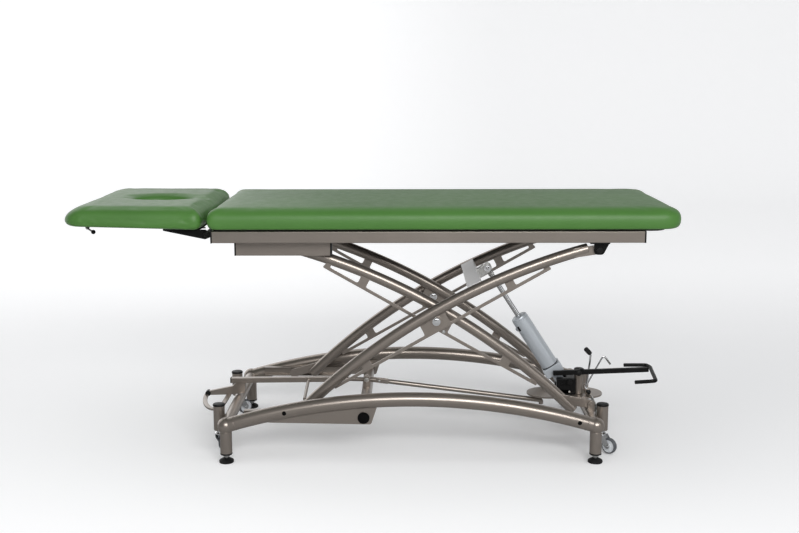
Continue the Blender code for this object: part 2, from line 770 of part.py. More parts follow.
def outer_cross_member():
    """The box section between the outer arms, with the fork for the piston rod."""
    reach = OUTER_Y - ARM_R - FIT
    half, tall = CROSS_LONG / 2, CROSS_TALL / 2
    mid = bend_z(CROSS_X)
    corners = [(CROSS_X - half, mid - tall), (CROSS_X + half, mid - tall),
               (CROSS_X + half, mid + tall), (CROSS_X - half, mid + tall)]
    body = plate([arm_xz(1.0, *corner) for corner in corners], (-reach, reach))
    inner = ROD_EYE / 2 + FIT * 4
    root = arm_xz(1.0, CROSS_X + half * 0.4, mid)
    outline = capsule(root, (EYE_X, EYE_Z), ROD_EYE_R)
    joined = [plate(outline, span(inner, inner + FORK, side)) for side in SIDES.values()]
    part("outer_cross_member", body, "frame_paint", "cross_pivot", joined)


# Lift unit
def on_lift(distance):
    return Vector((SEAT_X, 0.0, SEAT_Z)) + LIFT_UP * distance


def lift_cylinder():
    chamfer = CYLINDER_R * 0.2
    foot_high = CYLINDER_LOW + CYLINDER_FOOT_R
    bore = ROD_R + FIT
    profile = [(0.0, CYLINDER_HIGH), (CYLINDER_R - chamfer, CYLINDER_HIGH),
               (CYLINDER_R, CYLINDER_HIGH - chamfer), (CYLINDER_R, foot_high),
               (CYLINDER_FOOT_R, foot_high - chamfer), (CYLINDER_FOOT_R, CYLINDER_LOW), (0.0, CYLINDER_LOW)]
    hollow = rod(on_lift(foot_high * 0.9), on_lift(CYLINDER_HIGH + chamfer), bore)
    seat = (SEAT_X, SEAT_Z)
    top = on_lift(CYLINDER_LOW * 1.2)
    tongue = plate(capsule(seat, (top.x, top.z), ROD_EYE_R), (-TONGUE / 2, TONGUE / 2))
    hole = along_y(seat, (-TONGUE, TONGUE), PIN_R + FIT)
    body = turned(profile, (SEAT_X, 0.0, SEAT_Z), LIFT_UP)
    part("lift_cylinder", body, "bright_steel", "cylinder_seat", (tongue,), (hole, hollow))


def piston_rod():
    body = rod(on_lift(ROD_START), on_lift(LIFT_LONG - ROD_EYE_R * 0.6), ROD_R)
    eye = along_y((EYE_X, EYE_Z), (-ROD_EYE / 2, ROD_EYE / 2), ROD_EYE_R)
    hole = along_y((EYE_X, EYE_Z), (-ROD_EYE, ROD_EYE), BOLT_R)
    part("piston_rod", body, "bright_steel", "cylinder_seat", (eye,), (hole,))


# Pump, pedals and levers
def pump_tray():
    middle = (TRAY_X[0] + TRAY_HALF, 0.0), (TRAY_X[1] - TRAY_HALF, 0.0)
    body = slab(capsule(*middle, TRAY_HALF, 10), (TRAY_LOW, TRAY_HIGH))
    pin_z = TRAY_HIGH + LEVER_LIFT
    joined = []
    cuts = []
    for side in SIDES.values():
        ends = span(TAB_Y, TAB_Y + TAB, side)
        outline = capsule((LEVER_X, TRAY_HIGH - TRAY / 2), (LEVER_X, pin_z), LEVER_R * 2)
        joined.append(plate(outline, ends))
        cuts.append(along_y((LEVER_X, pin_z), (ends[0] - TAB, ends[1] + TAB), LEVER_R + FIT))
    lower = block((LEVER_X - LEVER_R * 3, -TRAY_HALF, TRAY_LOW - LEVER_R * 4),
                  (LEVER_X + LEVER_R * 3, TRAY_HALF, TRAY_LOW))
    joined += [tube([STAY_TOP, STAY_EDGE, end], WIRE_R, 2) for end in STAY_ENDS]
    part("pump_tray", body, "frame_paint", None, joined, (*cuts, lower))


def pump_body():
    edge = TRAY * 0.6
    body = block((PUMP_X[0], -PUMP_HALF, PUMP_LOW), (PUMP_X[1], PUMP_HALF, PUMP_TOP), edge)
    profile = [(0.0, TOWER_TOP), (TOWER_R - edge, TOWER_TOP), (TOWER_R, TOWER_TOP - edge),
               (TOWER_R, PUMP_LOW), (0.0, PUMP_LOW)]
    tower = turned(profile, (TOWER_X, TOWER_Y, 0.0), (0.0, 0.0, 1.0))
    half = TONGUE / 2 + FIT * 2
    slot = block((PUMP_X[0] - TONGUE, -half, SEAT_Z - ROD_EYE_R - FIT * 5),
                 (SEAT_X + ROD_EYE_R + FIT * 5, half, TOWER_TOP + TONGUE))
    bore = along_y((PEDAL_X, PEDAL_Z), (-PUMP_HALF - TONGUE, 0.0), PIN_R + FIT)
    pin = along_y((SEAT_X, SEAT_Z), (-half - TAB, half + TAB), PIN_R)
    obj = part("pump_body", body, "black_plastic", None, (tower,), (slot, bore))
    tool = linked("pump_body_pin", pin, TOOLS)
    tool.hide_render = True
    tool.display_type = "WIRE"
    last = obj.modifiers.new("pin", "BOOLEAN")
    last.operation = "UNION"
    last.solver = SOLVER
    last.object = tool


def pump_pedal():
    pivot("pedal_pivot", (PEDAL_X, sum(BAR_Y) / 2, PEDAL_Z))
    left, right = BAR_LEFT, BAR_RIGHT
    outline = [(left[0], left[1] - left[2] / 2), (right[0], right[1] - right[2] / 2),
               (right[0], right[1] + right[2] / 2), (left[0], left[1] + left[2] / 2)]
    loop = tube(LOOP, LOOP_R, 2)
    pin = along_y((PEDAL_X, PEDAL_Z), (sum(BAR_Y) / 2, -FIT * 10), PIN_R)
    part("pump_pedal", plate(outline, BAR_Y), "black_plastic", "pedal_pivot", (loop, pin))


def release_lever():
    pin_z = TRAY_HIGH + LEVER_LIFT
    pivot("lever_pivot", (LEVER_X, 0.0, pin_z))
    reach = TAB_Y + TAB + FIT * 5
    shaft = along_y((LEVER_X, pin_z), (-reach, reach), LEVER_R, 12)
    stalk_y = TAB_Y * 0.3
    wire_y = TAB_Y * 0.75
    low = Vector((GRIP_LOW[0], stalk_y, GRIP_LOW[1]))
    lean = Vector((math.sin(math.radians(GRIP_TURN)), 0.0, math.cos(math.radians(GRIP_TURN))))
    stalk = rod((LEVER_X, stalk_y, pin_z), low + lean * LEVER_R, LEVER_R * 0.8, 12)
    profile = [(0.0, GRIP_LONG), (GRIP_R * 0.6, GRIP_LONG), (GRIP_R, GRIP_LONG * 0.85), (GRIP_R, 0.0),
               (0.0, 0.0)]
    grip = turned(profile, low, lean, 12)
    wire = tube([(LEVER_X, wire_y, pin_z)] + [(x, wire_y, z) for x, z in WIRE], WIRE_R, 2)
    part("release_lever", shaft, "bright_steel", "lever_pivot", (stalk, grip, wire))


# Head-end foot lever
def hoop_outline():
    """The outline of the flat hoop beside the lever's arm, which bends round towards the near side."""
    outer, inner = [], []
    for i in range(HOOP_STEPS + 1):
        turn = math.pi * (1.0 - i / HOOP_STEPS)
        reach, along = math.sin(turn), math.cos(turn)
        x, y = HOOP_X + HOOP_HALF * along + HOOP_SKEW * reach * reach, -HOOP_LONG * reach
        ahead = Vector((HOOP_HALF * reach - HOOP_SKEW * math.sin(2 * turn), HOOP_LONG * along, 0.0)).normalized()
        aside = Vector((-ahead.y, ahead.x, 0.0)) * (HOOP_WIDE / 2)
        outer.append((x - aside.x, y - aside.y))
        inner.append((x + aside.x, y + aside.y))
    return outer + inner[::-1]


def foot_lever():
    pivot("foot_lever_pivot", (CROSS_TUBE_X, 0.0, FULCRUM_Z))
    half, thick, deep = BAR_TALL / 2, BAR_THICK / 2, BAR_DEEP / 2
    bar = [(BAR_START[0], BAR_START[1] - half), (BAR_END[0], BAR_END[1] - half),
           (BAR_END[0], BAR_END[1] + half), (BAR_START[0], BAR_START[1] + half)]
    neck = JOIN_X - BOSS_R
    neck_z = JOIN_Z + (FULCRUM_Z - JOIN_Z) * 0.4
    link = rod((BAR_END[0] - BAR_TALL, 0.0, BAR_END[1]), (neck, 0.0, neck_z), LINK_R, 12)
    tip = capsule((CROSS_TUBE_X, FULCRUM_Z), (JOIN_X, JOIN_Z), LINK_R)
    tongue = plate(tip, (-thick * 0.8, thick * 0.8))
    pin_z = (BAR_START[1] + BAR_END[1]) / 2
    joined = [
        plate(ARM_OUTLINE, (-deep * 0.7, deep * 0.7)),
        slab(hoop_outline(), HOOP_Z),
        link,
        tongue,
        along_y((CROSS_TUBE_X, FULCRUM_Z), (-thick - FIT * 5, thick + FIT * 5), BOSS_R),
        rod((CROSS_PIN_X, 0.0, pin_z), CROSS_PIN_END, CROSS_PIN_R, 12),
        along_y((JOIN_X, JOIN_Z), (-BAR_THICK * 1.2, BAR_THICK * 1.2), AXLE_R, 12),
    ]
    hole = along_y((CROSS_TUBE_X, FULCRUM_Z), (-BAR_THICK * 2, BAR_THICK * 2), PIN_R + FIT)
    part("foot_lever", plate(bar, (-deep, deep)), "frame_paint", "foot_lever_pivot", joined, (hole,))


def push_rod():
    pivot("push_rod_pivot", (JOIN_X, 0.0, JOIN_Z), "foot_lever_pivot")
    start = Vector((JOIN_X, 0.0, JOIN_Z))
    end = Vector((ROD_END[0], 0.0, ROD_END[1]))
    ahead = (end - start).normalized()
    first = start + ahead * BOSS_R * 1.6
    inner = BAR_THICK * 0.4 + FIT * 3
    wall = TAB * 0.8
    joined = []
    for side in SIDES.values():
        tip = start + ahead * BOSS_R * 2.2
        outline = capsule((JOIN_X, JOIN_Z), (tip.x, tip.z), LINK_R * 0.9)
        joined.append(plate(outline, span(inner, inner + wall, side)))
    joined.append(rod(end - ahead * LINK_R, (end.x, 0.0, end.z - LINK_R * 1.6), LINK_R * 0.6, 12))
    hole = along_y((JOIN_X, JOIN_Z), (-BAR_THICK * 2, BAR_THICK * 2), AXLE_R + FIT)
    part("push_rod", rod(first, end, LINK_R, 12), "frame_paint", "push_rod_pivot", joined, (hole,))


# Bed
def bed_rail(name, side):
    y_low, y_high = span(*RAIL_Y, side)
    body = block((RAIL_X[0], y_low, RAIL_Z[0]), (RAIL_X[1], y_high, RAIL_Z[1]), RAIL_EDGE)
    wall = TAB * 1.5
    outline = capsule((FOOT_X, RAIL_Z[0] + RAIL_EDGE * 3), (FOOT_X, HIGH_Z), BRACKET_HALF)
    bracket = plate(outline, span(RAIL_Y[0] + FIT, RAIL_Y[0] + wall, side))
    lug = top_lug_y()
    pin = along_y((FOOT_X, HIGH_Z), span(lug[0] - FIT * 4, RAIL_Y[0] + wall * 0.7, side), PIN_R)
    tab_ends = span(RAIL_Y[0] + FIT, RAIL_Y[0] + wall, side)
    root = (RAIL_X[0] + HINGE_HUB_R * 2, HINGE_Z - FIT * 8)
    tab = plate(capsule((HINGE_X, HINGE_Z), root, HINGE_HUB_R * 0.8), tab_ends)
    hole = along_y((HINGE_X, HINGE_Z), (tab_ends[0] - wall, tab_ends[1] + wall), HINGE_R + FIT)
    part(f"bed_rail_{name}", body, "frame_paint", "bed_pivot", (bracket, pin, tab), (hole,))


def bed_bars():
    reach = RAIL_Y[0] - FIT
    for name, x in BED_BARS.items():
        low = (x - BED_BAR_WIDE / 2, -reach, BAR_Z)
        high = (x + BED_BAR_WIDE / 2, reach, RAIL_Z[1])
        part(f"bed_bar_{name}", block(low, high, RAIL_EDGE / 2), "frame_paint", "bed_pivot")


def upper_track(name, side):
    inner_half = HIGH_ROLLER_R + FIT
    body, hollow = channel(HIGH_TRACK_X, HIGH_TRACK_Y, HIGH_Z, inner_half, side)
    joined = []
    y_low, y_high = span(HIGH_TRACK_Y[0] + TRACK_WALL, HIGH_TRACK_Y[1] - TRACK_WALL, side)
    for end in ("head", "mid"):
        low = (BED_BARS[end] - BED_BAR_WIDE * 0.3, y_low, HIGH_Z + inner_half + TRACK_WALL / 2)
        joined.append(block(low, (BED_BARS[end] + BED_BAR_WIDE * 0.3, y_high, BAR_Z - FIT)))
    part(f"upper_track_{name}", body, "frame_paint", "bed_pivot", joined, (hollow,))


def rounded_box(x_ends, half, corner, edge_steps=(1, 1)):
    """A rectangle in plan with round corners, and extra points along its edges."""
    head, foot = corner
    left, right = x_ends[0] + head, x_ends[1] - foot
    corners = (((right, half - foot), foot, 0.0), ((left, half - head), head, 90.0),
               ((left, head - half), head, 180.0), ((right, foot - half), foot, 270.0))
    loops = [circle(centre, radius, 4, first, first + 90.0) for centre, radius, first in corners]
    points = []
    for number, loop in enumerate(loops):
        points += loop
        after = loops[(number + 1) % 4][0]
        steps = edge_steps[number % 2]
        for i in range(1, steps):
            points.append(tuple(a + (b - a) * i / steps for a, b in zip(loop[-1], after)))
    return points


def bed_board():
    outline = rounded_box(BOARD_X, BOARD_HALF, (BOARD_CORNER * 0.3, BOARD_CORNER))
    part("bed_board", slab(outline, (BOARD_LOW, BOARD_LOW + BOARD)), "board", "bed_pivot")


# The side of a cushion, as (share of its height, inset from its widest outline)
PAD_SIDE = ((0.0, 0.014), (0.06, 0.007), (0.17, 0.002), (0.30, 0.0005), (0.43, 0.0), (0.58, 0.001),
            (0.72, 0.0035), (0.83, 0.0085), (0.92, 0.016), (0.975, 0.026), (1.0, 0.042))
FACE_EDGE = ((0.055, -0.6), (0.020, 0.0), (0.007, 0.5), (0.0015, 1.6), (0.0, 3.5))
FACE_FLARE = 0.003


def cushion_ring(x_ends, corner, inset, z, ends=(1.0, 1.0)):
    left, right = inset * ends[0], inset * ends[1]
    reduced = tuple(max(radius - inset * 0.5, radius * 0.3) for radius in corner)
    plan = rounded_box((x_ends[0] + left, x_ends[1] - right), PAD_HALF - inset, reduced, (6, 4))
    return [(x, y, z) for x, y in plan]


def main_pad():
    corner = (PAD_HEAD_CORNER, PAD_CORNER)
    rings = [cushion_ring(PAD_X, corner, inset, PAD_LOW + PAD_TALL * up) for up, inset in PAD_SIDE]
    rings.append(cushion_ring(PAD_X, corner, PAD_HALF * 0.5, PAD_LOW + PAD_TALL + CROWN * 0.8))
    rings.append(cushion_ring(PAD_X, corner, PAD_HALF * 0.85, PAD_LOW + PAD_TALL + CROWN))
    part("main_pad", loft(rings, False), "upholstery", "bed_pivot")


def face_ring(outline, grow, z):
    """An oval about the face opening with one point for each point of the outline."""
    points = []
    for x, y, _ in outline:
        turn = math.atan2(y / PAD_HALF, (x - FACE_X) / ((HEAD_PAD_X[1] - HEAD_PAD_X[0]) / 2))
        points.append((FACE_X + (FACE_LONG + grow) * math.cos(turn), (FACE_WIDE + grow) * math.sin(turn), z))
    return points


def tapered(point):
    """A point of the headrest cushion, which thins towards its nose."""
    x, y, z = point
    share = (HEAD_PAD_X[1] - x) / (HEAD_PAD_X[1] - HEAD_PAD_X[0])
    nose = max(0.0, 1.0 - (x - HEAD_PAD_X[0]) / NOSE_LONG)
    return x, y, PAD_LOW + (z - PAD_LOW) * (1.0 - HEAD_TAPER * share - NOSE_DROP * nose * nose)


def headrest_pad():
    corner = (PAD_CORNER, PAD_HEAD_CORNER)
    top = PAD_LOW + PAD_TALL
    rings = []
    for up, inset in PAD_SIDE:
        rings.append(cushion_ring(HEAD_PAD_X, corner, inset, PAD_LOW + PAD_TALL * up))
    outline = rings[4]
    for grow, depth in FACE_EDGE:
        rings.append(face_ring(outline, grow, top - CROWN * depth))
    rings.append(face_ring(outline, FACE_FLARE, PAD_LOW))
    rings = [[tapered(point) for point in ring] for ring in rings]
    part("headrest_pad", loft(rings, True), "upholstery", "headrest_pivot")


def headrest_board():
    grow = BOARD * 0.8
    turns = [math.radians(360.0 * i / 24) for i in range(24)]
    long, wide = FACE_LONG + grow, FACE_WIDE + grow
    hole = [(FACE_X + long * math.cos(a), wide * math.sin(a)) for a in turns]
    outline = rounded_box(HEAD_BOARD_X, HEAD_BOARD_HALF, (BOARD_CORNER, BOARD_CORNER * 0.3))
    tab_y = (CATCH_Y + BALL_R, CATCH_Y + BALL_R + TAB)
    tab = plate(capsule((CATCH_X, BOARD_LOW + BOARD / 2), (CATCH_X, CATCH_Z), CATCH_R * 2.2), tab_y)
    body = slab(outline, (BOARD_LOW, BOARD_LOW + BOARD), (hole,))
    hole_pin = along_y((CATCH_X, CATCH_Z), (tab_y[0] - TAB, tab_y[1] + TAB), CATCH_R + FIT, 12)
    clear = block((CATCH_X - TAB * 4, tab_y[0] - TAB, BOARD_LOW + BOARD),
                  (CATCH_X + TAB * 4, tab_y[1] + TAB, BOARD_LOW + BOARD * 3))
    part("headrest_board", body, "board", "headrest_pivot", (tab,), (hole_pin, clear))


def headrest_frame():
    """Two tapered arms on the hinge shaft, under the headrest board."""
    top = BOARD_LOW - FIT
    reach = RAIL_Y[0] + TAB * 1.5 + FIT * 5
    shaft = along_y((HINGE_X, HINGE_Z), (-reach, reach), HINGE_R)
    joined = []
    for side in SIDES.values():
        ends = span(HEAD_ARM_Y - HEAD_ARM / 2, HEAD_ARM_Y + HEAD_ARM / 2, side)
        joined.append(along_y((HINGE_X, HINGE_Z), ends, HINGE_HUB_R * 0.7))
        root = HINGE_X - HINGE_HUB_R * 0.4
        outline = [(HEAD_ARM_TIP, top), (HEAD_ARM_TIP, top - HEAD_ARM),
                   (HINGE_X - HINGE_HUB_R * 0.6, HINGE_Z - HINGE_HUB_R * 1.6),
                   (HINGE_X + HINGE_R, HINGE_Z - HINGE_HUB_R * 1.1), (HINGE_X + HINGE_R, HINGE_Z),
                   (root, top)]
        joined.append(plate(outline, (ends[0] + FIT, ends[1] - FIT)))
    part("headrest_frame", shaft, "black_plastic", "headrest_pivot", joined)


def headrest_lever():
    pivot("catch_pivot", (CATCH_X, CATCH_Y, CATCH_Z), "headrest_pivot")
    pin = along_y((CATCH_X, CATCH_Z), (CATCH_Y - CATCH_R, CATCH_Y + BALL_R + TAB * 1.3), CATCH_R, 12)
    stalk = rod((CATCH_X, CATCH_Y, CATCH_Z), (BALL_X, CATCH_Y, BALL_Z), CATCH_R, 12)
    knob = ball((BALL_X, CATCH_Y, BALL_Z), BALL_R)
    part("headrest_lever", knob, "black_plastic", "catch_pivot", (stalk, pin))


def headrest_release_rod():
    y = CATCH_Y + BALL_R + TAB + BALL_R
    z = BOARD_LOW - CATCH_R - FIT
    pivot("release_slide", (CATCH_X, y, z), "headrest_pivot")
    start = (CATCH_X + CATCH_R * 2, y, z)
    end = (HINGE_X - HINGE_R - CATCH_R * 3, y, z)
    part("headrest_release_rod", rod(start, end, CATCH_R, 12), "bright_steel", "release_slide")


def build():
    pivot("lift_pivot", (FOOT_X, 0.0, LOW_Z))
    pivot("cross_pivot", (PIVOT_X, 0.0, PIVOT_Z), "lift_pivot")
    pivot("bed_pivot", (FOOT_X, 0.0, HIGH_Z), "cross_pivot")
    pivot("headrest_pivot", (HINGE_X, 0.0, HINGE_Z), "bed_pivot", (0.0, math.radians(HEAD_TILT), 0.0))
    pivot("cylinder_seat", (SEAT_X, 0.0, SEAT_Z))
    for name, side in SIDES.items():
        base_side(name, side)
        track_plate(name, side)
        roller_track(name, side)
        pivot_bolt(name, side)
        bed_rail(name, side)
        upper_track(name, side)
        for end, x in ENDS.items():
            levelling_foot(f"{end}_{name}", x, SIDE_Y * side)
    for name, x, y in castor_places():
        castor_post(name, x, y)
        castor(name, x, y)
    for make in (end_tubes, base_cross_tube, pump_tray, pump_body, arms, rollers,
                 outer_cross_member, lift_cylinder, piston_rod, pump_pedal, release_lever, foot_lever,
                 push_rod, bed_bars, bed_board, main_pad, headrest_frame, headrest_board, headrest_pad,
                 headrest_lever, headrest_release_rod):
        make()


build()
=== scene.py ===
"""Looks of a height-adjustable treatment table: finishes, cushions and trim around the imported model."""
import math

import bmesh
import bpy
from mathutils import Matrix, Vector

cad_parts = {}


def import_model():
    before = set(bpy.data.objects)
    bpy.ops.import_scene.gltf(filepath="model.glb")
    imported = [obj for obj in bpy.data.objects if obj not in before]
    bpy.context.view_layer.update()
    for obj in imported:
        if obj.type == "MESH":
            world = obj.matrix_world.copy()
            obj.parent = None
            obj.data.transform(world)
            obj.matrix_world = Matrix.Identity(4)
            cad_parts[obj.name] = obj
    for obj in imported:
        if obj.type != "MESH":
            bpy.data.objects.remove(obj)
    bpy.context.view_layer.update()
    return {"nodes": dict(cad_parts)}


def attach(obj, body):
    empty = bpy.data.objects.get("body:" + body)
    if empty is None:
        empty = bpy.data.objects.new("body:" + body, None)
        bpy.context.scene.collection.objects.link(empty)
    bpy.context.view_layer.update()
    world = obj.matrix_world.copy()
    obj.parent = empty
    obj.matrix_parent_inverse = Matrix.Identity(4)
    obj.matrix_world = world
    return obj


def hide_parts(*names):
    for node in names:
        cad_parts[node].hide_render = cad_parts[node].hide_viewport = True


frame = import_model()

# Sizes shared with the solids, in metres
FIT = 0.0004
SIDE_Y, HEAD_X, FOOT_X = 0.31, -0.492, 0.744
CORNER_Z, CORNER_R = 0.127, 0.028
SIDE_R, ARCH_RISE, LEG_R, LEG_BOTTOM, END_R = 0.024, 0.091, 0.020, 0.028, 0.019
FOOT_R, FOOT_DISC, NUT_R, STUD_R = 0.0245, 0.012, 0.012, 0.006
POST_R, POST_Y, POST_LOW, POST_HIGH, POST_SIDES = 0.0195, 0.209, 0.080, 0.168, 14
WHEEL_R, WHEEL_WIDTH, WHEEL_Z, TRAIL = 0.0270, 0.018, 0.0295, 0.030
AXLE_R, CHEEK, CHEEK_GAP, CROWN_R, CROWN_LOW, CROWN_HIGH = 0.004, 0.0025, 0.0022, 0.0165, 0.064, 0.072
CASTOR_TURNS = {"head_near": 78.0, "head_far": 38.0, "foot_near": -42.0, "foot_far": 24.0}
PIVOT_X, PIVOT_Z, LOW_Z, HIGH_Z = 0.2125, 0.4645, 0.165, 0.7125
ARM_R, OUTER_Y, INNER_Y = 0.019, 0.240, 0.179
BEND_R, BEND_X, BEND_Z, TUBE_LOW, TUBE_HIGH = 2.193, 0.124, 0.061, -0.540, 0.570
WEB, WEB_OUTER_Y, WEB_INNER_Y, WEB_LOW, WEB_HIGH = 0.006, 0.230, 0.190, -0.402, 0.434
STRIP, STRIP_Z, STRIP_SLOPE = 0.0105, -0.006, 0.042
WINDOWS = ((-0.372, -0.283), (-0.250, -0.044), (0.052, 0.273), (0.304, 0.4105))
HUB_R, BOLT_R, LUG_R, LUG, LUG_INNER_Y, PIN_R = 0.020, 0.008, 0.0155, 0.0072, 0.1912, 0.006
LOW_ROLLER_R, LOW_ROLLER, LOW_ROLLER_DROP, HIGH_ROLLER_R, HIGH_ROLLER = 0.0125, 0.013, 0.010, 0.0195, 0.021
TRACK_WALL, TAB = 0.003, 0.004
HIGH_TRACK_X, HIGH_TRACK_Y = (-0.4545, -0.1390), (0.2050, 0.2345)
EYE_X, EYE_Z, SEAT_X, SEAT_Z = 0.397, 0.608, 0.668, 0.190
ROD_R, ROD_START, ROD_EYE_R, ROD_EYE = 0.009, 0.210, 0.016, 0.020
CYLINDER_R, CYLINDER_LOW, CYLINDER_HIGH, CYLINDER_FOOT_R, TONGUE = 0.030, 0.042, 0.290, 0.034, 0.024
CROSS_X, CROSS_LONG, CROSS_TALL, FORK = 0.180, 0.050, 0.034, 0.006
TRAY_X, TRAY_HALF, TRAY = (0.545, 0.815), 0.066, 0.006
PUMP_X, PUMP_HALF, PUMP_TOP = (0.648, 0.716), 0.036, 0.212
TOWER_X, TOWER_Y, TOWER_R, TOWER_TOP = 0.728, -0.017, 0.018, 0.2475
PEDAL_X, PEDAL_Z, BAR_Y = 0.722, 0.238, (-0.053, -0.041)
BAR_LEFT, BAR_RIGHT = (0.632, 0.2356, 0.017), (0.970, 0.2488, 0.017)
LOOP_R = 0.0065
LOOP = ((0.887, -0.018, 0.257), (0.968, -0.018, 0.257), (0.976, -0.045, 0.256), (0.964, -0.195, 0.249),
        (0.942, -0.199, 0.248), (0.890, -0.206, 0.247))
LEVER_X, LEVER_LIFT, LEVER_R, GRIP_LOW, GRIP_TURN = 0.760, 0.012, 0.005, (0.773, 0.290), -43.0
GRIP_R, GRIP_LONG, WIRE_R, TAB_Y = 0.0085, 0.030, 0.0035, 0.032
WIRE = ((0.822, 0.2835), (0.848, 0.2480))
STAY_TOP, STAY_EDGE = (0.757, -0.034, 0.1535), (0.768, -0.073, 0.1530)
STAY_ENDS = ((0.7700, -0.150, 0.1175), (0.7800, -0.150, 0.1240))
PLATE, PLATE_LOW_Z, PLATE_X, PLATE_SLANT = 0.006, 0.132, (-0.360, 0.014), 0.020
CROSS_TUBE_X, CROSS_TUBE_Z, CROSS_TUBE_R, FULCRUM_Z = -0.031, 0.155, 0.019, 0.2017
BAR_START, BAR_END, BAR_TALL, BAR_DEEP, BAR_THICK = (-0.520, 0.1972), (-0.109, 0.2018), 0.018, 0.022, 0.010
LINK_R, BOSS_R, JOIN_X, JOIN_Z, ROD_END = 0.009, 0.013, 0.014, 0.196, (0.597, 0.122)
CROSS_PIN_X, CROSS_PIN_R, CROSS_PIN_END = -0.2405, 0.0055, (-0.236, -0.214, 0.1905)
ARM_OUTLINE = ((-0.606, 0.1425), (-0.521, 0.1450), (-0.470, 0.1500), (-0.466, 0.1945), (-0.497, 0.1945),
               (-0.514, 0.1760), (-0.606, 0.1565))
HOOP_X, HOOP_HALF, HOOP_SKEW = -0.56875, 0.040, 0.017
HOOP_LONG, HOOP_WIDE, HOOP_Z = 0.178, 0.016, (0.1400, 0.1470)
RAIL_Y, RAIL_Z, RAIL_X = (0.262, 0.292), (0.7400, 0.7785), (-0.527, 0.8925)
BRACKET_HALF, BOARD = 0.018, 0.0067
PAD_HALF, PAD_X, HEAD_PAD_X, HEAD_TAPER = 0.325, (-0.535, 1.0080), (-1.0095, -0.5515), 0.13
NOSE_DROP, NOSE_LONG = 0.25, 0.090
PAD_CORNER, PAD_HEAD_CORNER, PAD_TALL, CROWN = 0.065, 0.022, 0.0715, 0.0035
HINGE_X, HINGE_Z, HEAD_TILT = -0.5435, 0.7665, 1.5
HEAD_ARM_Y, HEAD_ARM, HEAD_ARM_TIP, HINGE_R, HINGE_HUB_R = 0.2465, 0.007, -0.690, 0.008, 0.0125
FACE_X, FACE_LONG, FACE_WIDE = -0.741, 0.105, 0.073
BALL_X, BALL_Z, BALL_R, CATCH_X = -0.933, 0.7545, 0.0075, -0.955
CATCH_Z, CATCH_Y, CATCH_R = 0.7675, -0.200, 0.003

# Sizes that follow from the ones above
CENTRE_Z = (LOW_Z + HIGH_Z) / 2
ANGLE = math.atan2((HIGH_Z - LOW_Z) / 2, FOOT_X - PIVOT_X)
HALF_ARM = math.hypot(FOOT_X - PIVOT_X, (HIGH_Z - LOW_Z) / 2)
ROLLER_X = 2 * PIVOT_X - FOOT_X
POST_OUT = (END_R + POST_R) * math.cos(math.pi / POST_SIDES) + FIT
TRAY_LOW = CORNER_Z + END_R + FIT
TRAY_HIGH = TRAY_LOW + TRAY
BOARD_LOW = RAIL_Z[1] + FIT
PAD_LOW = BOARD_LOW + BOARD + FIT
LOW_TRACK_OUT = SIDE_Y - SIDE_R - FIT
LOW_ROLLER_Z = LOW_Z - LOW_ROLLER_DROP
SEAT = Vector((SEAT_X, 0.0, SEAT_Z))
LIFT_UP = (Vector((EYE_X, 0.0, EYE_Z)) - SEAT).normalized()
LIFT_LONG = (Vector((EYE_X, 0.0, EYE_Z)) - SEAT).length
UP, ALONG_Y = (0.0, 0.0, 1.0), (0.0, 1.0, 0.0)
SIDES = {"near": -1.0, "far": 1.0}
ENDS = {"head": HEAD_X, "foot": FOOT_X}
CROSS_TUBE, FULCRUM = (CROSS_TUBE_X, CROSS_TUBE_Z), (CROSS_TUBE_X, FULCRUM_Z)
HINGE, PIVOT, JOIN = (HINGE_X, HINGE_Z), (PIVOT_X, PIVOT_Z), (JOIN_X, JOIN_Z)
EYE, SEAT_XZ = (EYE_X, EYE_Z), (SEAT_X, SEAT_Z)

# How fine the shapes are
TUBE_SIDES, TURN_SIDES, WIRE_SIDES, STATIONS = 32, 36, 16, 48
BEAD_SIDES, HEXAGON, CORNER_STEPS = 10, 6, 10
EASE_SHARE, EASE_STEEP = 0.48, 0.05
SHARP_ANGLE = 38.0
EDGE = 0.0009
BEAD = 0.0016
RIM = 0.0015
WELD = 0.00002

# Camera fitted to the photograph's view
CAMERA_PLACE = (0.114, -3.863, 1.292)
CAMERA_PITCH, CAMERA_YAW, CAMERA_ROLL = 9.99, 0.39, -0.12
LENS, SENSOR = 50.0, 36.0


# Shapes
def mesh_of(shape):
    """A closed shape as a mesh whose faces point outwards."""
    mesh = bpy.data.meshes.new("shell")
    bmesh.ops.recalc_face_normals(shape, faces=shape.faces)
    if shape.calc_volume(signed=True) < 0.0:
        bmesh.ops.reverse_faces(shape, faces=shape.faces)
    shape.to_mesh(mesh)
    shape.free()
    return mesh


def eased(points, radius, steps=4, closed=True):
    """The points with each corner replaced by a curve, shorter where an edge is short."""
    points = [Vector(point) for point in points]
    count = len(points)
    made = []
    for number, corner in enumerate(points):
        if not closed and number in (0, count - 1):
            made.append(corner)
            continue
        back = points[number - 1] - corner
        ahead = points[(number + 1) % count] - corner
        half = back.angle(ahead) / 2
        reach = min(radius / max(math.tan(half), EASE_STEEP), back.length * EASE_SHARE,
                    ahead.length * EASE_SHARE)
        first, last = corner + back.normalized() * reach, corner + ahead.normalized() * reach
        for step in range(steps + 1):
            t = step / steps
            made.append(first * (1 - t) ** 2 + corner * 2 * t * (1 - t) + last * t ** 2)
    return made


def rounded(points, radius, steps=4, closed=True):
    """An outline in a plane with its corners eased."""
    return [(p.x, p.y) for p in eased([(*point, 0.0) for point in points], radius, steps, closed)]


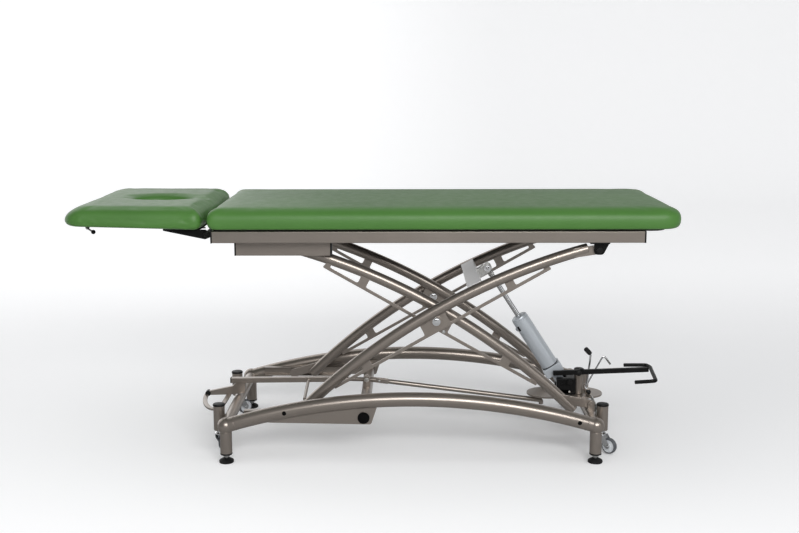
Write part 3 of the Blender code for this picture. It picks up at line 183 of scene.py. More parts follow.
def bridge(shape, rings, closed):
    pairs = list(zip(rings, rings[1:])) + ([(rings[-1], rings[0])] if closed else [])
    for lower, upper in pairs:
        count = max(len(lower), len(upper))
        for i in range(count):
            j = (i + 1) % count
            corners = []
            for vert in (lower[i % len(lower)], lower[j % len(lower)], upper[j % len(upper)],
                         upper[i % len(upper)]):
                if vert not in corners:
                    corners.append(vert)
            shape.faces.new(corners)


def loft(rings, closed=False):
    """Faces between rings of as many points each; open ends are capped."""
    shape = bmesh.new()
    made = [[shape.verts.new(point) for point in ring] for ring in rings]
    bridge(shape, made, closed)
    if not closed:
        shape.faces.new(made[0][::-1])
        shape.faces.new(made[-1])
    return mesh_of(shape)


def turned(profile, place, axis, sides=TURN_SIDES, closed=False):
    """A profile of (radius, along) points turned about an axis; closed where it runs back to its start."""
    shape = bmesh.new()
    rings = []
    for radius, along in profile:
        count = sides if radius > WELD else 1
        turns = [2 * math.pi * i / count for i in range(count)]
        rings.append([shape.verts.new((radius * math.cos(a), radius * math.sin(a), along)) for a in turns])
    bridge(shape, rings, closed)
    if not closed:
        for ring in (rings[0], rings[-1]):
            if len(ring) > 1:
                shape.faces.new(ring)
    turn = Vector(axis).to_track_quat("Z", "Y").to_matrix().to_4x4()
    shape.transform(Matrix.Translation(place) @ turn)
    return mesh_of(shape)


def rod(start, end, radius, sides=TURN_SIDES, rim=RIM, bulge=0.0):
    """A round bar with softened rims and, where asked, domed ends."""
    start, end = Vector(start), Vector(end)
    long = (end - start).length
    rim = min(rim, radius * 0.5, long * 0.4)
    cut = rim * 0.3
    profile = [(0.0, -bulge), (radius * 0.5, -bulge * 0.75), (radius - rim, 0.0), (radius - cut, cut),
               (radius, rim)]
    profile += [(r, long - along) for r, along in profile[::-1]]
    return turned(profile, start, end - start, sides)


def across(x, z, y_ends, radius, sides=TURN_SIDES, rim=RIM, bulge=0.0):
    return rod((x, y_ends[0], z), (x, y_ends[1], z), radius, sides, rim, bulge)


def ball(centre, radius, squash=1.0):
    steps = TURN_SIDES // 2
    profile = [(radius * math.sin(math.pi * i / steps),
                -radius * squash * math.cos(math.pi * i / steps)) for i in range(steps + 1)]
    return turned(profile, centre, UP)


def bead(place, axis, radius, thick=BEAD):
    """A ring round a bar, such as a run of weld or an O-ring."""
    turns = [2 * math.pi * i / BEAD_SIDES for i in range(BEAD_SIDES)]
    return turned([(radius + thick * math.cos(a), thick * math.sin(a)) for a in turns], place, axis,
                  TUBE_SIDES, True)


def sweep(path, radius, sides=WIRE_SIDES, rim=RIM):
    """A tube along a path with softened rims at its ends."""
    points = [Vector(point) for point in path]
    shape = bmesh.new()
    rings = []
    ahead = (points[1] - points[0]).normalized()
    aside = ahead.orthogonal().normalized()
    for number, point in enumerate(points):
        after = points[min(number + 1, len(points) - 1)]
        before = points[max(number - 1, 0)]
        along = (after - before).normalized()
        aside = ahead.rotation_difference(along) @ aside
        aside = (aside - along * aside.dot(along)).normalized()
        ahead = along
        other = along.cross(aside)
        sizes = [(0.0, radius)]
        if number == 0:
            sizes = [(0.0, radius - rim), (rim * 0.3, radius - rim * 0.3), (rim, radius)]
        if number == len(points) - 1:
            sizes = [(-rim, radius), (-rim * 0.3, radius - rim * 0.3), (0.0, radius - rim)]
        for shift, size in sizes:
            centre = point + along * shift
            turns = [2 * math.pi * i / sides for i in range(sides)]
            rings.append([shape.verts.new(centre + (aside * math.cos(a) + other * math.sin(a)) * size)
                          for a in turns])
    bridge(shape, rings, False)
    shape.faces.new(rings[0])
    shape.faces.new(rings[-1])
    return mesh_of(shape)


def bar(low, high, edge=EDGE, segments=3):
    shape = bmesh.new()
    bmesh.ops.create_cube(shape, size=1.0)
    size = [b - a for a, b in zip(low, high)]
    middle = [(a + b) / 2 for a, b in zip(low, high)]
    shape.transform(Matrix.Translation(middle) @ Matrix.Diagonal((*size, 1.0)))
    bmesh.ops.bevel(shape, geom=shape.edges[:], offset=edge, segments=segments, profile=0.5, affect="EDGES")
    return mesh_of(shape)


def flat(outline, ends, holes=(), edge=EDGE, lying=False):
    """A plate with softened edges: upright between two values of Y, or lying between two values of Z."""
    low, high = sorted(ends)
    curve = bpy.data.curves.new("plate", "CURVE")
    curve.dimensions = "2D"
    curve.fill_mode = "BOTH"
    curve.bevel_depth = edge
    curve.bevel_resolution = 1
    curve.offset = -edge
    curve.extrude = max((high - low) / 2 - edge, WELD)
    for loop in (outline, *holes):
        spline = curve.splines.new("POLY")
        spline.points.add(len(loop) - 1)
        for point, place in zip(spline.points, loop):
            point.co = (place[0], place[1], 0.0, 1.0)
        spline.use_cyclic_u = True
    obj = bpy.data.objects.new("plate", curve)
    bpy.context.scene.collection.objects.link(obj)
    bpy.context.view_layer.update()
    mesh = bpy.data.meshes.new_from_object(obj.evaluated_get(bpy.context.evaluated_depsgraph_get()))
    bpy.data.objects.remove(obj, do_unlink=True)
    middle = (low + high) / 2
    stand = Matrix.Translation((0.0, middle, 0.0)) @ Matrix.Rotation(math.pi / 2, 4, "X")
    mesh.transform(Matrix.Translation((0.0, 0.0, middle)) if lying else stand)
    shape = bmesh.new()
    shape.from_mesh(mesh)
    bpy.data.meshes.remove(mesh)
    bmesh.ops.remove_doubles(shape, verts=shape.verts, dist=WELD)
    return mesh_of(shape)


def circle(centre, radius, sides=TURN_SIDES, first=0.0, last=360.0):
    steps = sides if last - first >= 360.0 else sides + 1
    turns = [math.radians(first + (last - first) * i / sides) for i in range(steps)]
    return [(centre[0] + radius * math.cos(a), centre[1] + radius * math.sin(a)) for a in turns]


def capsule(start, end, radius, sides=WIRE_SIDES):
    turn = math.degrees(math.atan2(end[1] - start[1], end[0] - start[0]))
    ahead = circle(end, radius, sides, turn - 90.0, turn + 90.0)
    return ahead + circle(start, radius, sides, turn + 90.0, turn + 270.0)


def stepped(first, last, count):
    return [first + (last - first) * i / count for i in range(count + 1)]


def mirrored(profile):
    """A turned profile that is the same on both sides of its middle."""
    return profile + [(radius, -along) for radius, along in profile[::-1]]


def span(low, high, side):
    return tuple(sorted((low * side, high * side)))


def bolt(place, out, radius=0.006, tall=0.004, washer=1.45):
    """A hexagon head on its washer, as two shells, facing out along Y."""
    axis = (0.0, out, 0.0)
    thin = tall * 0.25
    ring = turned([(0.0, 0.0), (radius * washer, 0.0), (radius * washer, thin * 0.7),
                   (radius * washer - thin * 0.3, thin), (0.0, thin)], place, axis)
    head = turned([(0.0, thin * 0.9), (radius, thin * 0.9), (radius, tall * 0.9), (radius * 0.86, tall),
                   (0.0, tall)], place, axis, HEXAGON)
    return ring, head


# Finishes
MATERIALS = {}


def coloured(sockets):
    return [socket for socket in sockets if socket.type == "RGBA"]


class Finish:
    """A Principled material with helpers for the textures that feed it."""

    def __init__(self, name, colour, rough, metal=0.0, **sockets):
        self.made = bpy.data.materials.new(name)
        self.made.use_nodes = True
        self.tree = self.made.node_tree
        self.shader = self.tree.nodes["Principled BSDF"]
        self.shader.inputs["Base Color"].default_value = (*colour, 1.0)
        self.shader.inputs["Roughness"].default_value = rough
        self.shader.inputs["Metallic"].default_value = metal
        for socket, value in sockets.items():
            self.shader.inputs[socket.replace("_", " ")].default_value = value
        self.place = self.tree.nodes.new("ShaderNodeTexCoord").outputs["Object"]
        self.normal = None
        MATERIALS[name] = self.made

    def link(self, start, end):
        self.tree.links.new(start, end)

    def stretched(self, scale):
        node = self.tree.nodes.new("ShaderNodeMapping")
        node.inputs["Scale"].default_value = scale
        self.link(self.place, node.inputs["Vector"])
        return node.outputs["Vector"]

    def noise(self, scale, detail=3.0, rough=0.55, stretch=None):
        node = self.tree.nodes.new("ShaderNodeTexNoise")
        node.inputs["Scale"].default_value = scale
        node.inputs["Detail"].default_value = detail
        node.inputs["Roughness"].default_value = rough
        self.link(self.stretched(stretch) if stretch else self.place, node.inputs["Vector"])
        return node.outputs["Fac"]

    def cells(self, scale, feature="DISTANCE_TO_EDGE"):
        node = self.tree.nodes.new("ShaderNodeTexVoronoi")
        node.feature = feature
        node.inputs["Scale"].default_value = scale
        self.link(self.place, node.inputs["Vector"])
        return node.outputs["Distance"]

    def ranged(self, value, source, low, high):
        node = self.tree.nodes.new("ShaderNodeMapRange")
        node.inputs["From Min"].default_value, node.inputs["From Max"].default_value = source
        node.inputs["To Min"].default_value, node.inputs["To Max"].default_value = low, high
        self.link(value, node.inputs["Value"])
        return node.outputs["Result"]

    def colours(self, value, low, high, source=(0.3, 0.7)):
        """Base colour between two colours, as the value runs over the source range."""
        node = self.tree.nodes.new("ShaderNodeMix")
        node.data_type = "RGBA"
        ends = coloured(node.inputs)
        ends[0].default_value, ends[1].default_value = (*low, 1.0), (*high, 1.0)
        self.link(self.ranged(value, source, 0.0, 1.0), node.inputs["Factor"])
        self.link(coloured(node.outputs)[0], self.shader.inputs["Base Color"])

    def roughness(self, value, low, high, source=(0.3, 0.7)):
        self.link(self.ranged(value, source, low, high), self.shader.inputs["Roughness"])

    def bump(self, value, strength, depth):
        node = self.tree.nodes.new("ShaderNodeBump")
        node.inputs["Strength"].default_value = strength
        node.inputs["Distance"].default_value = depth
        self.link(value, node.inputs["Height"])
        if self.normal:
            self.link(self.normal, node.inputs["Normal"])
        self.normal = node.outputs["Normal"]
        self.link(self.normal, self.shader.inputs["Normal"])


def paint_finish(name, low, high, rough, metal=0.80):
    """Metallic stove enamel: flake in the colour, slight orange peel and handling marks in the gloss."""
    finish = Finish(name, low, rough[0], metal, Coat_Weight=0.20, Coat_Roughness=0.20)
    finish.colours(finish.noise(900.0, 2.0), low, high)
    finish.roughness(finish.noise(9.0, 3.0, 0.5), *rough)
    finish.bump(finish.noise(55.0, 2.0), 0.02, 0.0004)


def plastic_finish(name, low, high, rough, grain, gloss=0.2):
    finish = Finish(name, low, rough[0], 0.0, Specular_IOR_Level=gloss)
    finish.colours(finish.noise(30.0, 4.0), low, high)
    finish.roughness(finish.noise(55.0, 3.0), *rough)
    finish.bump(finish.noise(grain, 2.0), 0.22, 0.0005)


def metal_finish(name, low, high, rough, stretch):
    """Bright metal with fine drawing marks along one direction."""
    finish = Finish(name, low, rough[0], 1.0)
    finish.colours(finish.noise(14.0, 4.0), low, high)
    finish.roughness(finish.noise(60.0, 3.0, 0.6, stretch), *rough)
    finish.bump(finish.noise(300.0, 2.0, 0.5, stretch), 0.02, 0.0002)


def vinyl_finish():
    """Smooth synthetic leather: close pebble grain, faint sheen, tone that drifts over the panel."""
    low, high = (0.052, 0.152, 0.026), (0.062, 0.174, 0.032)
    finish = Finish("upholstery", low, 0.40, 0.0, Specular_IOR_Level=0.25, Coat_Weight=0.30,
                    Coat_Roughness=0.42)
    finish.colours(finish.noise(3.2, 4.0), low, high)
    finish.roughness(finish.noise(38.0, 4.0), 0.42, 0.52)
    finish.bump(finish.noise(9.0, 3.0), 0.05, 0.003)
    finish.bump(finish.cells(620.0), 0.16, 0.0006)
    finish.bump(finish.noise(1500.0, 2.0), 0.08, 0.0003)


def finishes():
    paint_finish("frame_paint", (0.300, 0.262, 0.230), (0.325, 0.286, 0.252), (0.30, 0.36))
    paint_finish("silver_paint", (0.40, 0.43, 0.46), (0.48, 0.51, 0.54), (0.32, 0.42), 0.35)
    # The cross-member plate's near-white colour is a painted reflection: it makes the plate, which lies in
    # the bed's shadow, look as bright as bare steel mirroring the floor.
    paint_finish("plate_painted_reflection", (0.86, 0.85, 0.84), (0.92, 0.91, 0.90), (0.34, 0.42), 0.10)
    metal_finish("chrome", (0.72, 0.73, 0.74), (0.82, 0.83, 0.84), (0.06, 0.17), (1.0, 1.0, 8.0))
    metal_finish("zinc", (0.55, 0.55, 0.54), (0.68, 0.68, 0.66), (0.22, 0.40), (6.0, 6.0, 1.0))
    plastic_finish("black_plastic", (0.005, 0.005, 0.005), (0.010, 0.010, 0.010), (0.36, 0.50), 900.0)
    plastic_finish("black_enamel", (0.005, 0.005, 0.005), (0.009, 0.009, 0.009), (0.28, 0.42), 380.0, 0.12)
    plastic_finish("rubber", (0.008, 0.008, 0.008), (0.016, 0.016, 0.016), (0.50, 0.70), 1300.0)
    plastic_finish("matt_black", (0.002, 0.002, 0.002), (0.004, 0.004, 0.004), (0.70, 0.85), 900.0, 0.05)
    plastic_finish("grey_tyre", (0.070, 0.074, 0.080), (0.105, 0.110, 0.118), (0.45, 0.65), 1100.0)
    plastic_finish("wheel_hub", (0.52, 0.54, 0.56), (0.62, 0.64, 0.66), (0.35, 0.50), 800.0, 0.5)
    # The board's near-black colour is partly its own dark colour and partly painted shade for the gap under
    # the cushions' overhang.
    board = Finish("board", (0.012, 0.011, 0.010), 0.7, 0.0, Specular_IOR_Level=0.2)
    board.colours(board.noise(24.0, 6.0, 0.6, (1.0, 9.0, 9.0)), (0.008, 0.007, 0.006),
                  (0.016, 0.014, 0.012))
    board.roughness(board.noise(45.0, 4.0), 0.55, 0.8)
    board.bump(board.noise(160.0, 4.0, 0.6, (1.0, 8.0, 8.0)), 0.25, 0.0006)
    vinyl_finish()


# Pieces
def piece(name, body, slot, shells, *nodes):
    """One object made of closed shells, each a mesh with its finish, riding on a body."""
    shape = bmesh.new()
    looks = []
    for mesh, look in shells:
        if look not in looks:
            looks.append(look)
        start = len(shape.faces)
        shape.from_mesh(mesh)
        shape.faces.ensure_lookup_table()
        for face in shape.faces[start:]:
            face.material_index = looks.index(look)
        bpy.data.meshes.remove(mesh)
    made = bpy.data.meshes.new(name)
    shape.to_mesh(made)
    shape.free()
    for look in looks:
        made.materials.append(MATERIALS[look])
    made.shade_smooth()
    made.set_sharp_from_angle(angle=math.radians(SHARP_ANGLE))
    obj = bpy.data.objects.new(name, made)
    bpy.context.scene.collection.objects.link(obj)
    even = obj.modifiers.new("even", "WEIGHTED_NORMAL")
    even.keep_sharp = True
    applied(obj)
    return settled(obj, body, slot, *nodes)


def turn_about(place, degrees, axis):
    there, back = Matrix.Translation(place), Matrix.Translation(-Vector(place))
    return there @ Matrix.Rotation(math.radians(degrees), 4, axis) @ back


def moved(shells, about):
    for mesh, _ in shells:
        mesh.transform(about)
    return shells


def settled(obj, body, slot, *nodes):
    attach(obj, body)
    if nodes:
        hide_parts(*nodes)
    return obj


def in_look(look):
    return lambda *meshes: [(mesh, look) for mesh in meshes]


painted, black, enamel, matt = map(in_look, ("frame_paint", "black_plastic", "black_enamel", "matt_black"))
zinc, chrome, silver, reflection_white = map(in_look, ("zinc", "chrome", "silver_paint", "plate_painted_reflection"))
rubber, tyre, hub_grey = map(in_look, ("rubber", "grey_tyre", "wheel_hub"))


# Floor frame
def arch_z(x):
    half = (FOOT_X - HEAD_X) / 2
    radius = (half * half + ARCH_RISE * ARCH_RISE) / (2 * ARCH_RISE)
    away = x - (HEAD_X + FOOT_X) / 2
    return CORNER_Z + ARCH_RISE - radius + math.sqrt(radius * radius - away * away)


def arch_ahead(x):
    before, after = (Vector((x + step, 0.0, arch_z(x + step))) for step in (-EDGE, EDGE))
    return (after - before).normalized()


PLUGS = (-0.2932, 0.6859)
PLUG_R = 0.0075
SEAM_IN = 0.031
COLLAR = 0.006


def base_side(name, side):
    y = SIDE_Y * side
    stations = stepped(HEAD_X, FOOT_X, STATIONS)
    shells = painted(sweep([(x, y, arch_z(x)) for x in stations], SIDE_R, TUBE_SIDES))
    for end, x in ENDS.items():
        inward = 1.0 if end == "head" else -1.0
        seam = x + SEAM_IN * inward
        shells += painted(ball((x, y, CORNER_Z), CORNER_R),
                          rod((x, y, LEG_BOTTOM + COLLAR * 0.5), (x, y, CORNER_Z), LEG_R, TUBE_SIDES),
                          bead((seam, y, arch_z(seam)), arch_ahead(seam), SIDE_R - BEAD * 0.45),
                          bead((x, y, CORNER_Z - CORNER_R * 0.72), UP, LEG_R - BEAD * 0.3))
        shells += black(rod((x, y, LEG_BOTTOM), (x, y, LEG_BOTTOM + COLLAR), LEG_R + RIM * 0.3, TUBE_SIDES))
    for x in PLUGS:
        ends = (y + side * (SIDE_R - RIM * 3), y + side * (SIDE_R + RIM * 0.4))
        shells += matt(across(x, arch_z(x), ends, PLUG_R, WIRE_SIDES, RIM, RIM * 0.5))
    piece(f"side_tube_{name}", "base", "frame_paint", shells, f"base_side_{name}")


def end_tube(end, x):
    reach = SIDE_Y - CORNER_R * 0.7
    shells = painted(across(x, CORNER_Z, (-reach, reach), END_R, TUBE_SIDES))
    for side in SIDES.values():
        shells += painted(bead((x, side * (SIDE_Y - CORNER_R - BEAD), CORNER_Z), ALONG_Y,
                               END_R - BEAD * 0.3))
        if end == "foot":
            inner, outer = LUG_INNER_Y - LUG / 2 - TRACK_WALL, LUG_INNER_Y + LUG / 2 + TRACK_WALL
            outline = capsule((x, CORNER_Z), (x, LOW_Z), PIN_R * 2)
            shells += painted(flat(outline, span(inner - TAB, inner, side)),
                              flat(outline, span(outer, outer + TAB, side)))
            shells += zinc(across(x, LOW_Z, span(inner - TAB * 1.2, outer + TAB * 1.2, side), PIN_R))
            for place, out in ((inner - TAB, -side), (outer + TAB, side)):
                shells += painted(*bolt((x, place * side, LOW_Z), out, PIN_R * 0.9, PIN_R * 0.5))
    piece(f"end_bar_{end}", "base", "frame_paint", shells, f"end_tube_{end}")


def castor_places():
    for end, x in ENDS.items():
        out = -POST_OUT if end == "head" else POST_OUT
        for name, side in SIDES.items():
            yield f"{end}_{name}", x + out, POST_Y * side


CAP = 0.006
SPOKES, SPOKE_SIDES = 6, 8
NUT_TALL, NUT_EASE = 0.007, 0.001
PLATE_STEPS = 20


def castor_post(name, x, y):
    shells = painted(rod((x, y, POST_LOW), (x, y, POST_HIGH), POST_R, TUBE_SIDES))
    rim = POST_R + RIM
    shells += black(turned([(0.0, -RIM), (rim, -RIM), (rim, CAP * 0.4), (rim - CAP * 0.25, CAP * 0.8),
                            (rim * 0.7, CAP), (0.0, CAP * 1.1)], (x, y, POST_HIGH), UP))
    side = 1.0 if x < 0 else -1.0
    shells += painted(bar((x + side * POST_R * 0.75 - BEAD, y - POST_R * 0.55, CORNER_Z - END_R * 0.55),
                          (x + side * POST_R * 0.75 + BEAD * 2, y + POST_R * 0.55, CORNER_Z + END_R * 0.55),
                          BEAD * 0.9))
    piece(f"post_{name}", "base", "frame_paint", shells, f"castor_post_{name}")


def castor_fork(x, y):
    inner = WHEEL_WIDTH / 2 + CHEEK_GAP
    outline = eased([(x - CROWN_R * 0.75, CROWN_LOW + CHEEK), (x - CROWN_R * 0.5, CROWN_LOW - CHEEK * 4),
                     (x + TRAIL - AXLE_R * 2.4, WHEEL_Z - AXLE_R * 0.8),
                     (x + TRAIL - AXLE_R, WHEEL_Z - AXLE_R * 2.1),
                     (x + TRAIL + AXLE_R * 1.4, WHEEL_Z - AXLE_R * 1.8),
                     (x + TRAIL + AXLE_R * 2.1, WHEEL_Z + AXLE_R), (x + CROWN_R * 0.95, CROWN_LOW + CHEEK)],
                    CHEEK * 1.6)
    crown = [(0.0, CROWN_LOW), (CROWN_R * 0.85, CROWN_LOW), (CROWN_R, CROWN_LOW + CHEEK * 0.7),
             (CROWN_R, CROWN_HIGH - CHEEK), (CROWN_R * 0.8, CROWN_HIGH), (CROWN_R * 0.62, CROWN_HIGH),
             (CROWN_R * 0.62, POST_LOW - FIT), (0.0, POST_LOW - FIT)]
    shells = chrome(turned(crown, (x, y, 0.0), UP))
    for side in SIDES.values():
        ends = sorted((y + inner * side, y + (inner + CHEEK) * side))
        shells += chrome(flat(outline, ends, edge=CHEEK * 0.3))
        shells += chrome(*bolt((x + TRAIL, y + (inner + CHEEK) * side, WHEEL_Z), side, AXLE_R,
                               AXLE_R * 0.6))
    reach = inner + CHEEK / 2
    return shells + zinc(across(x + TRAIL, WHEEL_Z, (y - reach, y + reach), AXLE_R))


def castor_wheel(x, y):
    half, bore, hub = WHEEL_WIDTH / 2, AXLE_R + FIT, WHEEL_R * 0.80
    tread = rounded([(hub, half * 0.86), (WHEEL_R * 0.95, half * 0.92), (WHEEL_R, half * 0.45),
                     (WHEEL_R, -half * 0.45), (WHEEL_R * 0.95, -half * 0.92), (hub, -half * 0.86)],
                    half * 0.2, 3, False)
    disc = [(bore, half), (bore * 2.1, half), (bore * 2.3, half * 0.62), (hub * 0.82, half * 0.55),
            (hub * 0.9, half * 0.86), (hub + RIM * 0.3, half * 0.86)]
    wheel = tyre(turned(tread, (x, y, WHEEL_Z), ALONG_Y, TURN_SIDES, True))
    wheel += hub_grey(turned(mirrored(disc), (x, y, WHEEL_Z), ALONG_Y, TURN_SIDES, True))
    for spoke in range(SPOKES):
        angle = math.radians(360.0 / SPOKES * spoke)
        for side in SIDES.values():
            ends = [(x + away * math.cos(angle), y + side * half * 0.52, WHEEL_Z + away * math.sin(angle))
                    for away in (bore * 2.0, hub * 0.86)]
            wheel += hub_grey(rod(*ends, RIM, SPOKE_SIDES, RIM * 0.3))
    return wheel


def castor(name, x, y):
    """Fork and wheel as drawn along X, then turned about the post as the castor stands."""
    about = turn_about((x, y, 0.0), CASTOR_TURNS[name], "Z")
    fork = moved(castor_fork(x, y), about)
    piece(f"fork_{name}", f"fork_{name}", "bright_steel", fork, f"castor_fork_{name}")
    wheel = moved(castor_wheel(x + TRAIL, y), about)
    piece(f"wheel_{name}", f"wheel_{name}", "grey_tyre", wheel, f"castor_wheel_{name}")


def levelling_foot(name, x, y):
    low = FOOT_DISC * 0.75
    disc = [(0.0, 0.0), (FOOT_R - RIM, 0.0), (FOOT_R, RIM), (FOOT_R, low - RIM), (FOOT_R - RIM, low),
            (FOOT_R * 0.75, FOOT_DISC), (FOOT_R * 0.55, FOOT_DISC * 1.2), (FOOT_R * 0.45, FOOT_DISC * 1.3),
            (0.0, FOOT_DISC * 1.3)]
    nut_high = LEG_BOTTOM - FIT
    shells = rubber(turned(disc, (x, y, 0.0), UP))
    shells += zinc(turned([(0.0, FOOT_DISC * 1.2), (STUD_R, FOOT_DISC * 1.2), (STUD_R, LEG_BOTTOM),
                           (0.0, LEG_BOTTOM)], (x, y, 0.0), UP))
    shells += zinc(turned([(0.0, nut_high - NUT_TALL), (NUT_R * 0.9, nut_high - NUT_TALL),
                           (NUT_R, nut_high - NUT_TALL + NUT_EASE), (NUT_R, nut_high - NUT_EASE),
                           (NUT_R * 0.9, nut_high), (0.0, nut_high)], (x, y, 0.0), UP, HEXAGON))
    piece(f"foot_pad_{name}", f"foot_{name}", "black_plastic", shells, f"levelling_foot_{name}")


def track_plate(name, side):
    stations = stepped(*PLATE_X, PLATE_STEPS)
    under = [(x, arch_z(x) - SIDE_R + RIM) for x in stations]
    corner = PLATE_X[1] - PLATE_SLANT
    low = rounded([(PLATE_X[0] + PLATE_SLANT, PLATE_LOW_Z + RIM * 4), (corner, PLATE_LOW_Z), under[-1]],
                  RIM * 6, 5, False)
    outline = low + under[::-1]
    y = SIDE_Y * side
    plate = flat(outline, (y - PLATE / 2, y + PLATE / 2), (circle(CROSS_TUBE, CROSS_TUBE_R + FIT),))
    piece(f"track_cheek_{name}", "base", "frame_paint", painted(plate), f"track_plate_{name}")


def base_cross_tube():
    reach = SIDE_Y + PLATE
    shells = painted(across(*CROSS_TUBE, (-reach, reach), CROSS_TUBE_R, TUBE_SIDES))
    inner = LINK_R + TRACK_WALL * 0.6
    for side in SIDES.values():
        outline = capsule(CROSS_TUBE, FULCRUM, PIN_R * 2)
        shells += painted(flat(outline, span(inner, inner + TAB, side)))
        shells += zinc(*bolt((CROSS_TUBE_X, side * (inner + TAB), FULCRUM_Z), side, PIN_R))
        shells += matt(across(*CROSS_TUBE, span(reach - RIM, reach + RIM, side), CROSS_TUBE_R + RIM * 0.6,
                              TURN_SIDES, RIM, RIM))
    pin = inner + TAB
    shells += zinc(across(*FULCRUM, (-pin, pin), PIN_R))
    piece("cross_tube", "base", "frame_paint", shells, "base_cross_tube")


# Scissor
WEB_STEPS, WINDOW_STEPS = 28, 8


def arm_xz(mirror, along, up):
    reach = along * math.cos(ANGLE) - up * math.sin(ANGLE)
    return PIVOT_X + mirror * reach, CENTRE_Z + along * math.sin(ANGLE) + up * math.cos(ANGLE)


def bend_z(along):
    away = along - BEND_X
    return BEND_Z - BEND_R + math.sqrt(BEND_R * BEND_R - away * away)


def strip_z(along):
    return STRIP_Z + STRIP_SLOPE * along


def web_plate(mirror, y):
    stations = stepped(WEB_LOW, WEB_HIGH, WEB_STEPS)
    foot = rounded([(WEB_LOW + STRIP, bend_z(WEB_LOW)), (WEB_LOW, strip_z(WEB_LOW) - STRIP / 2),
                    (WEB_HIGH, strip_z(WEB_HIGH) - STRIP / 2), (WEB_HIGH - STRIP, bend_z(WEB_HIGH))],
                   STRIP * 0.5, 5, False)
    outline = foot + [(s, bend_z(s)) for s in stations[::-1] if WEB_LOW + STRIP < s < WEB_HIGH - STRIP]
    holes = []
    for left, right in WINDOWS:
        low = [(left, strip_z(left) + STRIP / 2), (right, strip_z(right) + STRIP / 2)]
        top = [(s, bend_z(s) - ARM_R * 0.75) for s in stepped(right, left, WINDOW_STEPS)]
        corners = [low[0], low[1], top[0], top[-1]]
        window = rounded(corners, STRIP * 0.7, 6)
        ends = len(window) * 3 // 4
        holes.append(window[:ends] + top[2:-2] + window[ends:])
    shape = [[arm_xz(mirror, *point) for point in loop] for loop in (outline, *holes)]
    return flat(shape[0], (y - WEB / 2, y + WEB / 2), shape[1:], EDGE * 0.8)


SMALL_BOLT = (0.237, 0.430)
FOOT_TAIL = 0.018


def arm(name, mirror, side, tube_y, web_y, high_y, low_y, stub_end, stub_y, body, drop=0.0, tail=0.0):
    y = tube_y * side
    tips = {1.0: (HALF_ARM, 0.0), -1.0: (-HALF_ARM - drop * math.sin(ANGLE), -drop * math.cos(ANGLE))}
    path = []
    for i in range(STATIONS + 1):
        s = TUBE_LOW - tail + (TUBE_HIGH - TUBE_LOW + tail) * i / STATIONS
        x, z = arm_xz(mirror, s, bend_z(s))
        path.append((x, y, z))
    shells = painted(sweep(path, ARM_R, TUBE_SIDES, RIM * 2), web_plate(mirror, web_y * side))
    shells += painted(across(*PIVOT, span(web_y - WEB * 0.7, web_y + WEB * 0.7, side), HUB_R))
    for end, ends in ((1.0, high_y), (-1.0, low_y)):
        inner = (TUBE_HIGH - LUG_R * 2.7) if end > 0 else (TUBE_LOW + LUG_R * 2.7)
        outline = capsule(arm_xz(mirror, inner, bend_z(inner)), arm_xz(mirror, *tips[end]), LUG_R)
        shells += painted(flat(outline, span(*ends, side)))
    stub = arm_xz(mirror, *tips[stub_end])
    shells += zinc(across(*stub, span(*stub_y, side), PIN_R))
    if drop:
        outer = (web_y + WEB / 2) * side
        shells += zinc(*bolt((SMALL_BOLT[0], outer, SMALL_BOLT[1]), side, AXLE_R, AXLE_R * 0.8))
    piece(f"lift_{name}", body, "frame_paint", shells, name)


def low_roller_y():
    outer = LOW_TRACK_OUT - TRACK_WALL - FIT * 2
    return outer - LOW_ROLLER, outer


def high_roller_y():
    outer = HIGH_TRACK_Y[1] - TRACK_WALL - FIT * 2
    return outer - HIGH_ROLLER, outer


def top_lug_y():
    outer = RAIL_Y[0] - LUG * 0.8
    return outer - LUG, outer


def arms():
    low_lug = (OUTER_Y + LUG * 0.5, OUTER_Y + LUG * 1.5)
    foot_lug = (LUG_INNER_Y - LUG / 2, LUG_INNER_Y + LUG / 2)
    for name, side in SIDES.items():
        arm(f"arm_outer_{name}", 1.0, side, OUTER_Y, WEB_OUTER_Y, top_lug_y(), low_lug, -1.0,
            (low_lug[0] + LUG * 0.3, low_roller_y()[1]), "outer_arms", LOW_ROLLER_DROP)
        arm(f"arm_inner_{name}", -1.0, side, INNER_Y, WEB_INNER_Y, foot_lug, foot_lug, 1.0,
            (foot_lug[0] + LUG * 0.3, high_roller_y()[1]), "inner_arms", 0.0, FOOT_TAIL)


def roller(height, name, side, z, radius, y_ends):
    low, high = span(*y_ends, side)
    half, bore, ease = (high - low) / 2, PIN_R + FIT, radius * 0.09
    profile = [(bore, half), (radius * 0.45, half), (radius * 0.5, half * 0.8), (radius * 0.78, half * 0.8),
               (radius * 0.84, half), (radius - ease, half), (radius, half - ease)]
    wheel = turned(mirrored(profile), (ROLLER_X, (low + high) / 2, z), ALONG_Y, TURN_SIDES, True)
    piece(f"{height}_roller_{name}", f"{height}_roller_{name}", "black_plastic", black(wheel),
          f"roller_{height}_{name}")


def pivot_bolt(name, side):
    inner, outer = WEB_INNER_Y - WEB * 0.7 - FIT, WEB_OUTER_Y + WEB * 0.7 + FIT
    mid = (WEB_INNER_Y + WEB * 0.7 + FIT, WEB_OUTER_Y - WEB * 0.7 - FIT)
    shells = chrome(across(*PIVOT, span(inner, outer, side), BOLT_R),
                    across(*PIVOT, span(*mid, side), BOLT_R * 1.7),
                    *bolt((PIVOT_X, outer * side, PIVOT_Z), side, BOLT_R * 1.35, BOLT_R * 0.85, 1.3),
                    *bolt((PIVOT_X, inner * side, PIVOT_Z), -side, BOLT_R * 1.35, BOLT_R * 0.85, 1.3))
    piece(f"scissor_bolt_{name}", "outer_arms", "bright_steel", shells, f"pivot_bolt_{name}")


